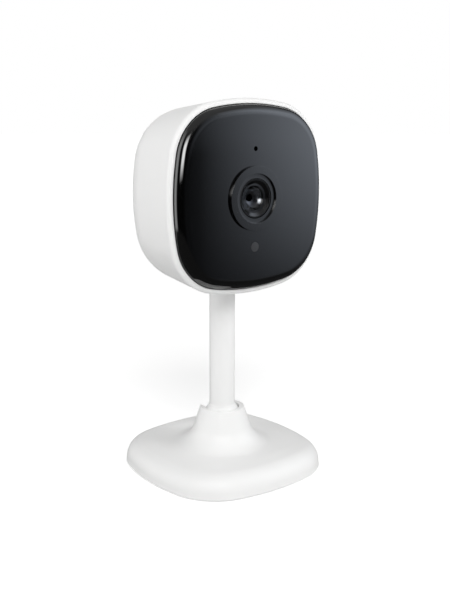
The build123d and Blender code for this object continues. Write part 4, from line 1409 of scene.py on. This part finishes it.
@dataclass
class Studio:
    """Pale floor, white surroundings, soft lamps, cards that the gloss reflects, and the camera."""

    floor_reach: float = 4.0
    floor_tone: float = 0.86
    floor_rings: tuple[float, ...] = (0.0, 0.2, 1.0)
    floor_columns: int = 64
    azimuth: float = -36.943
    pitch: float = 12.138
    distance: float = 246.359
    camera_height: float = 102.423
    focal_pixels: float = 873.13
    middle_pixel: float = 222.14
    image_width: int = 450
    image_height: int = 600
    sensor: float = 36.0
    nearest: float = 0.01
    ambient: float = 0.15
    floor_glow: float = 0.4
    glow_start: float = 0.25
    glow_end: float = 1.2
    lamps: tuple[SoftLamp, ...] = (
        SoftLamp("key", -30.0, 40.0, 7.7),
        SoftLamp("left", -90.0, 20.0, 3.9),
        SoftLamp("right", 45.0, 25.0, 6.0),
        SoftLamp("back_left", -140.0, 40.0, 2.0),
        SoftLamp("back_right", 80.0, 30.0, 1.25),
    )

    def camera(self) -> None:
        """Camera at the photograph's viewing angle, from its place round the stem and its pitch."""
        turn = radians(self.azimuth)
        data = bpy.data.cameras.new("camera")
        data.sensor_width = self.sensor
        data.lens = self.focal_pixels / self.image_height * self.sensor
        data.shift_x = (self.image_width / 2 - self.middle_pixel) / self.image_height
        data.clip_start = self.nearest
        eye = add_object("camera", data)
        eye.location = Vector((self.distance * sin(turn), -self.distance * cos(turn), self.camera_height)) * MM
        ahead = -direction(self.azimuth, self.pitch)
        eye.rotation_mode = "QUATERNION"
        eye.rotation_quaternion = ahead.to_track_quat("-Z", "Y")
        bpy.context.scene.camera = eye

    @staticmethod
    def seen(wiring: Wiring) -> bpy.types.NodeSocket:
        """1 for rays from the camera and for mirrored and clear rays, otherwise 0."""
        path = wiring.node("ShaderNodeLightPath").outputs
        mirrored = wiring.math("MAXIMUM", path["Is Glossy Ray"], path["Is Transmission Ray"])
        return wiring.math("MAXIMUM", path["Is Camera Ray"], mirrored)

    def surroundings(self) -> None:
        """White world: plain light on the object, and white where the camera or a reflection sees it."""
        world = bpy.data.worlds.new("studio")
        world.use_nodes = True
        wiring = Wiring(world.node_tree)
        levels = {"Factor": self.seen(wiring), MIX_VALUES[0]: self.ambient, MIX_VALUES[1]: 1.0}
        strength = wiring.node("ShaderNodeMix", levels, data_type="FLOAT").outputs[0]
        shine = wiring.node("ShaderNodeBackground", {"Color": (1.0, 1.0, 1.0, 1.0), "Strength": strength})
        wiring.node("ShaderNodeOutputWorld", {"Surface": shine.outputs[0]})
        bpy.context.scene.world = world

    def floor(self) -> None:
        """Wide pale disc under the object, which takes its shadow and looks white where it is lit."""
        rings = circles(np.array(self.floor_rings) * self.floor_reach / MM, self.floor_columns)
        disc = Shape().grid(Axis.STEM.place(rings, np.zeros((len(rings), 1)))).build("floor")
        material, wiring = new_material("pale_floor")
        matt = wiring.node("ShaderNodeBsdfDiffuse", {"Color": (*[self.floor_tone] * 3, 1.0)})
        place = wiring.node("ShaderNodeTexCoord").outputs["Object"]
        away = wiring.node("ShaderNodeVectorMath", {0: place}, operation="LENGTH").outputs["Value"]
        level = wiring.node(
            "ShaderNodeMapRange",
            {
                "Value": away,
                "From Min": self.glow_start,
                "From Max": self.glow_end,
                "To Min": self.floor_glow,
                "To Max": 1.0,
            },
        ).outputs[0]
        glow = wiring.math("MULTIPLY", self.seen(wiring), level)
        shine = wiring.node("ShaderNodeEmission", {"Strength": glow})
        both = wiring.node("ShaderNodeAddShader", {0: matt.outputs[0], 1: shine.outputs[0]})
        wiring.node("ShaderNodeOutputMaterial", {"Surface": both.outputs[0]})
        disc.data.materials.append(material)

    def build(self) -> None:
        """The whole studio."""
        bpy.context.scene.view_settings.view_transform = "Standard"
        self.camera()
        self.surroundings()
        self.floor()
        GlossSurround().build()
        for lamp in self.lamps:
            lamp.build()


def main() -> None:
    """Builds every sub-assembly in order."""
    logging.basicConfig(level=logging.INFO, format="%(message)s")
    shell = HeadShell()
    FacePanel().build()
    LensUnit().build()
    SensorWindow().build()
    shell.build()
    RearPorts(shell).build()
    Stem().build()
    Base().build()
    Inside(frame["record"]).build()
    Studio().build()


if __name__ == "__main__":
    main()
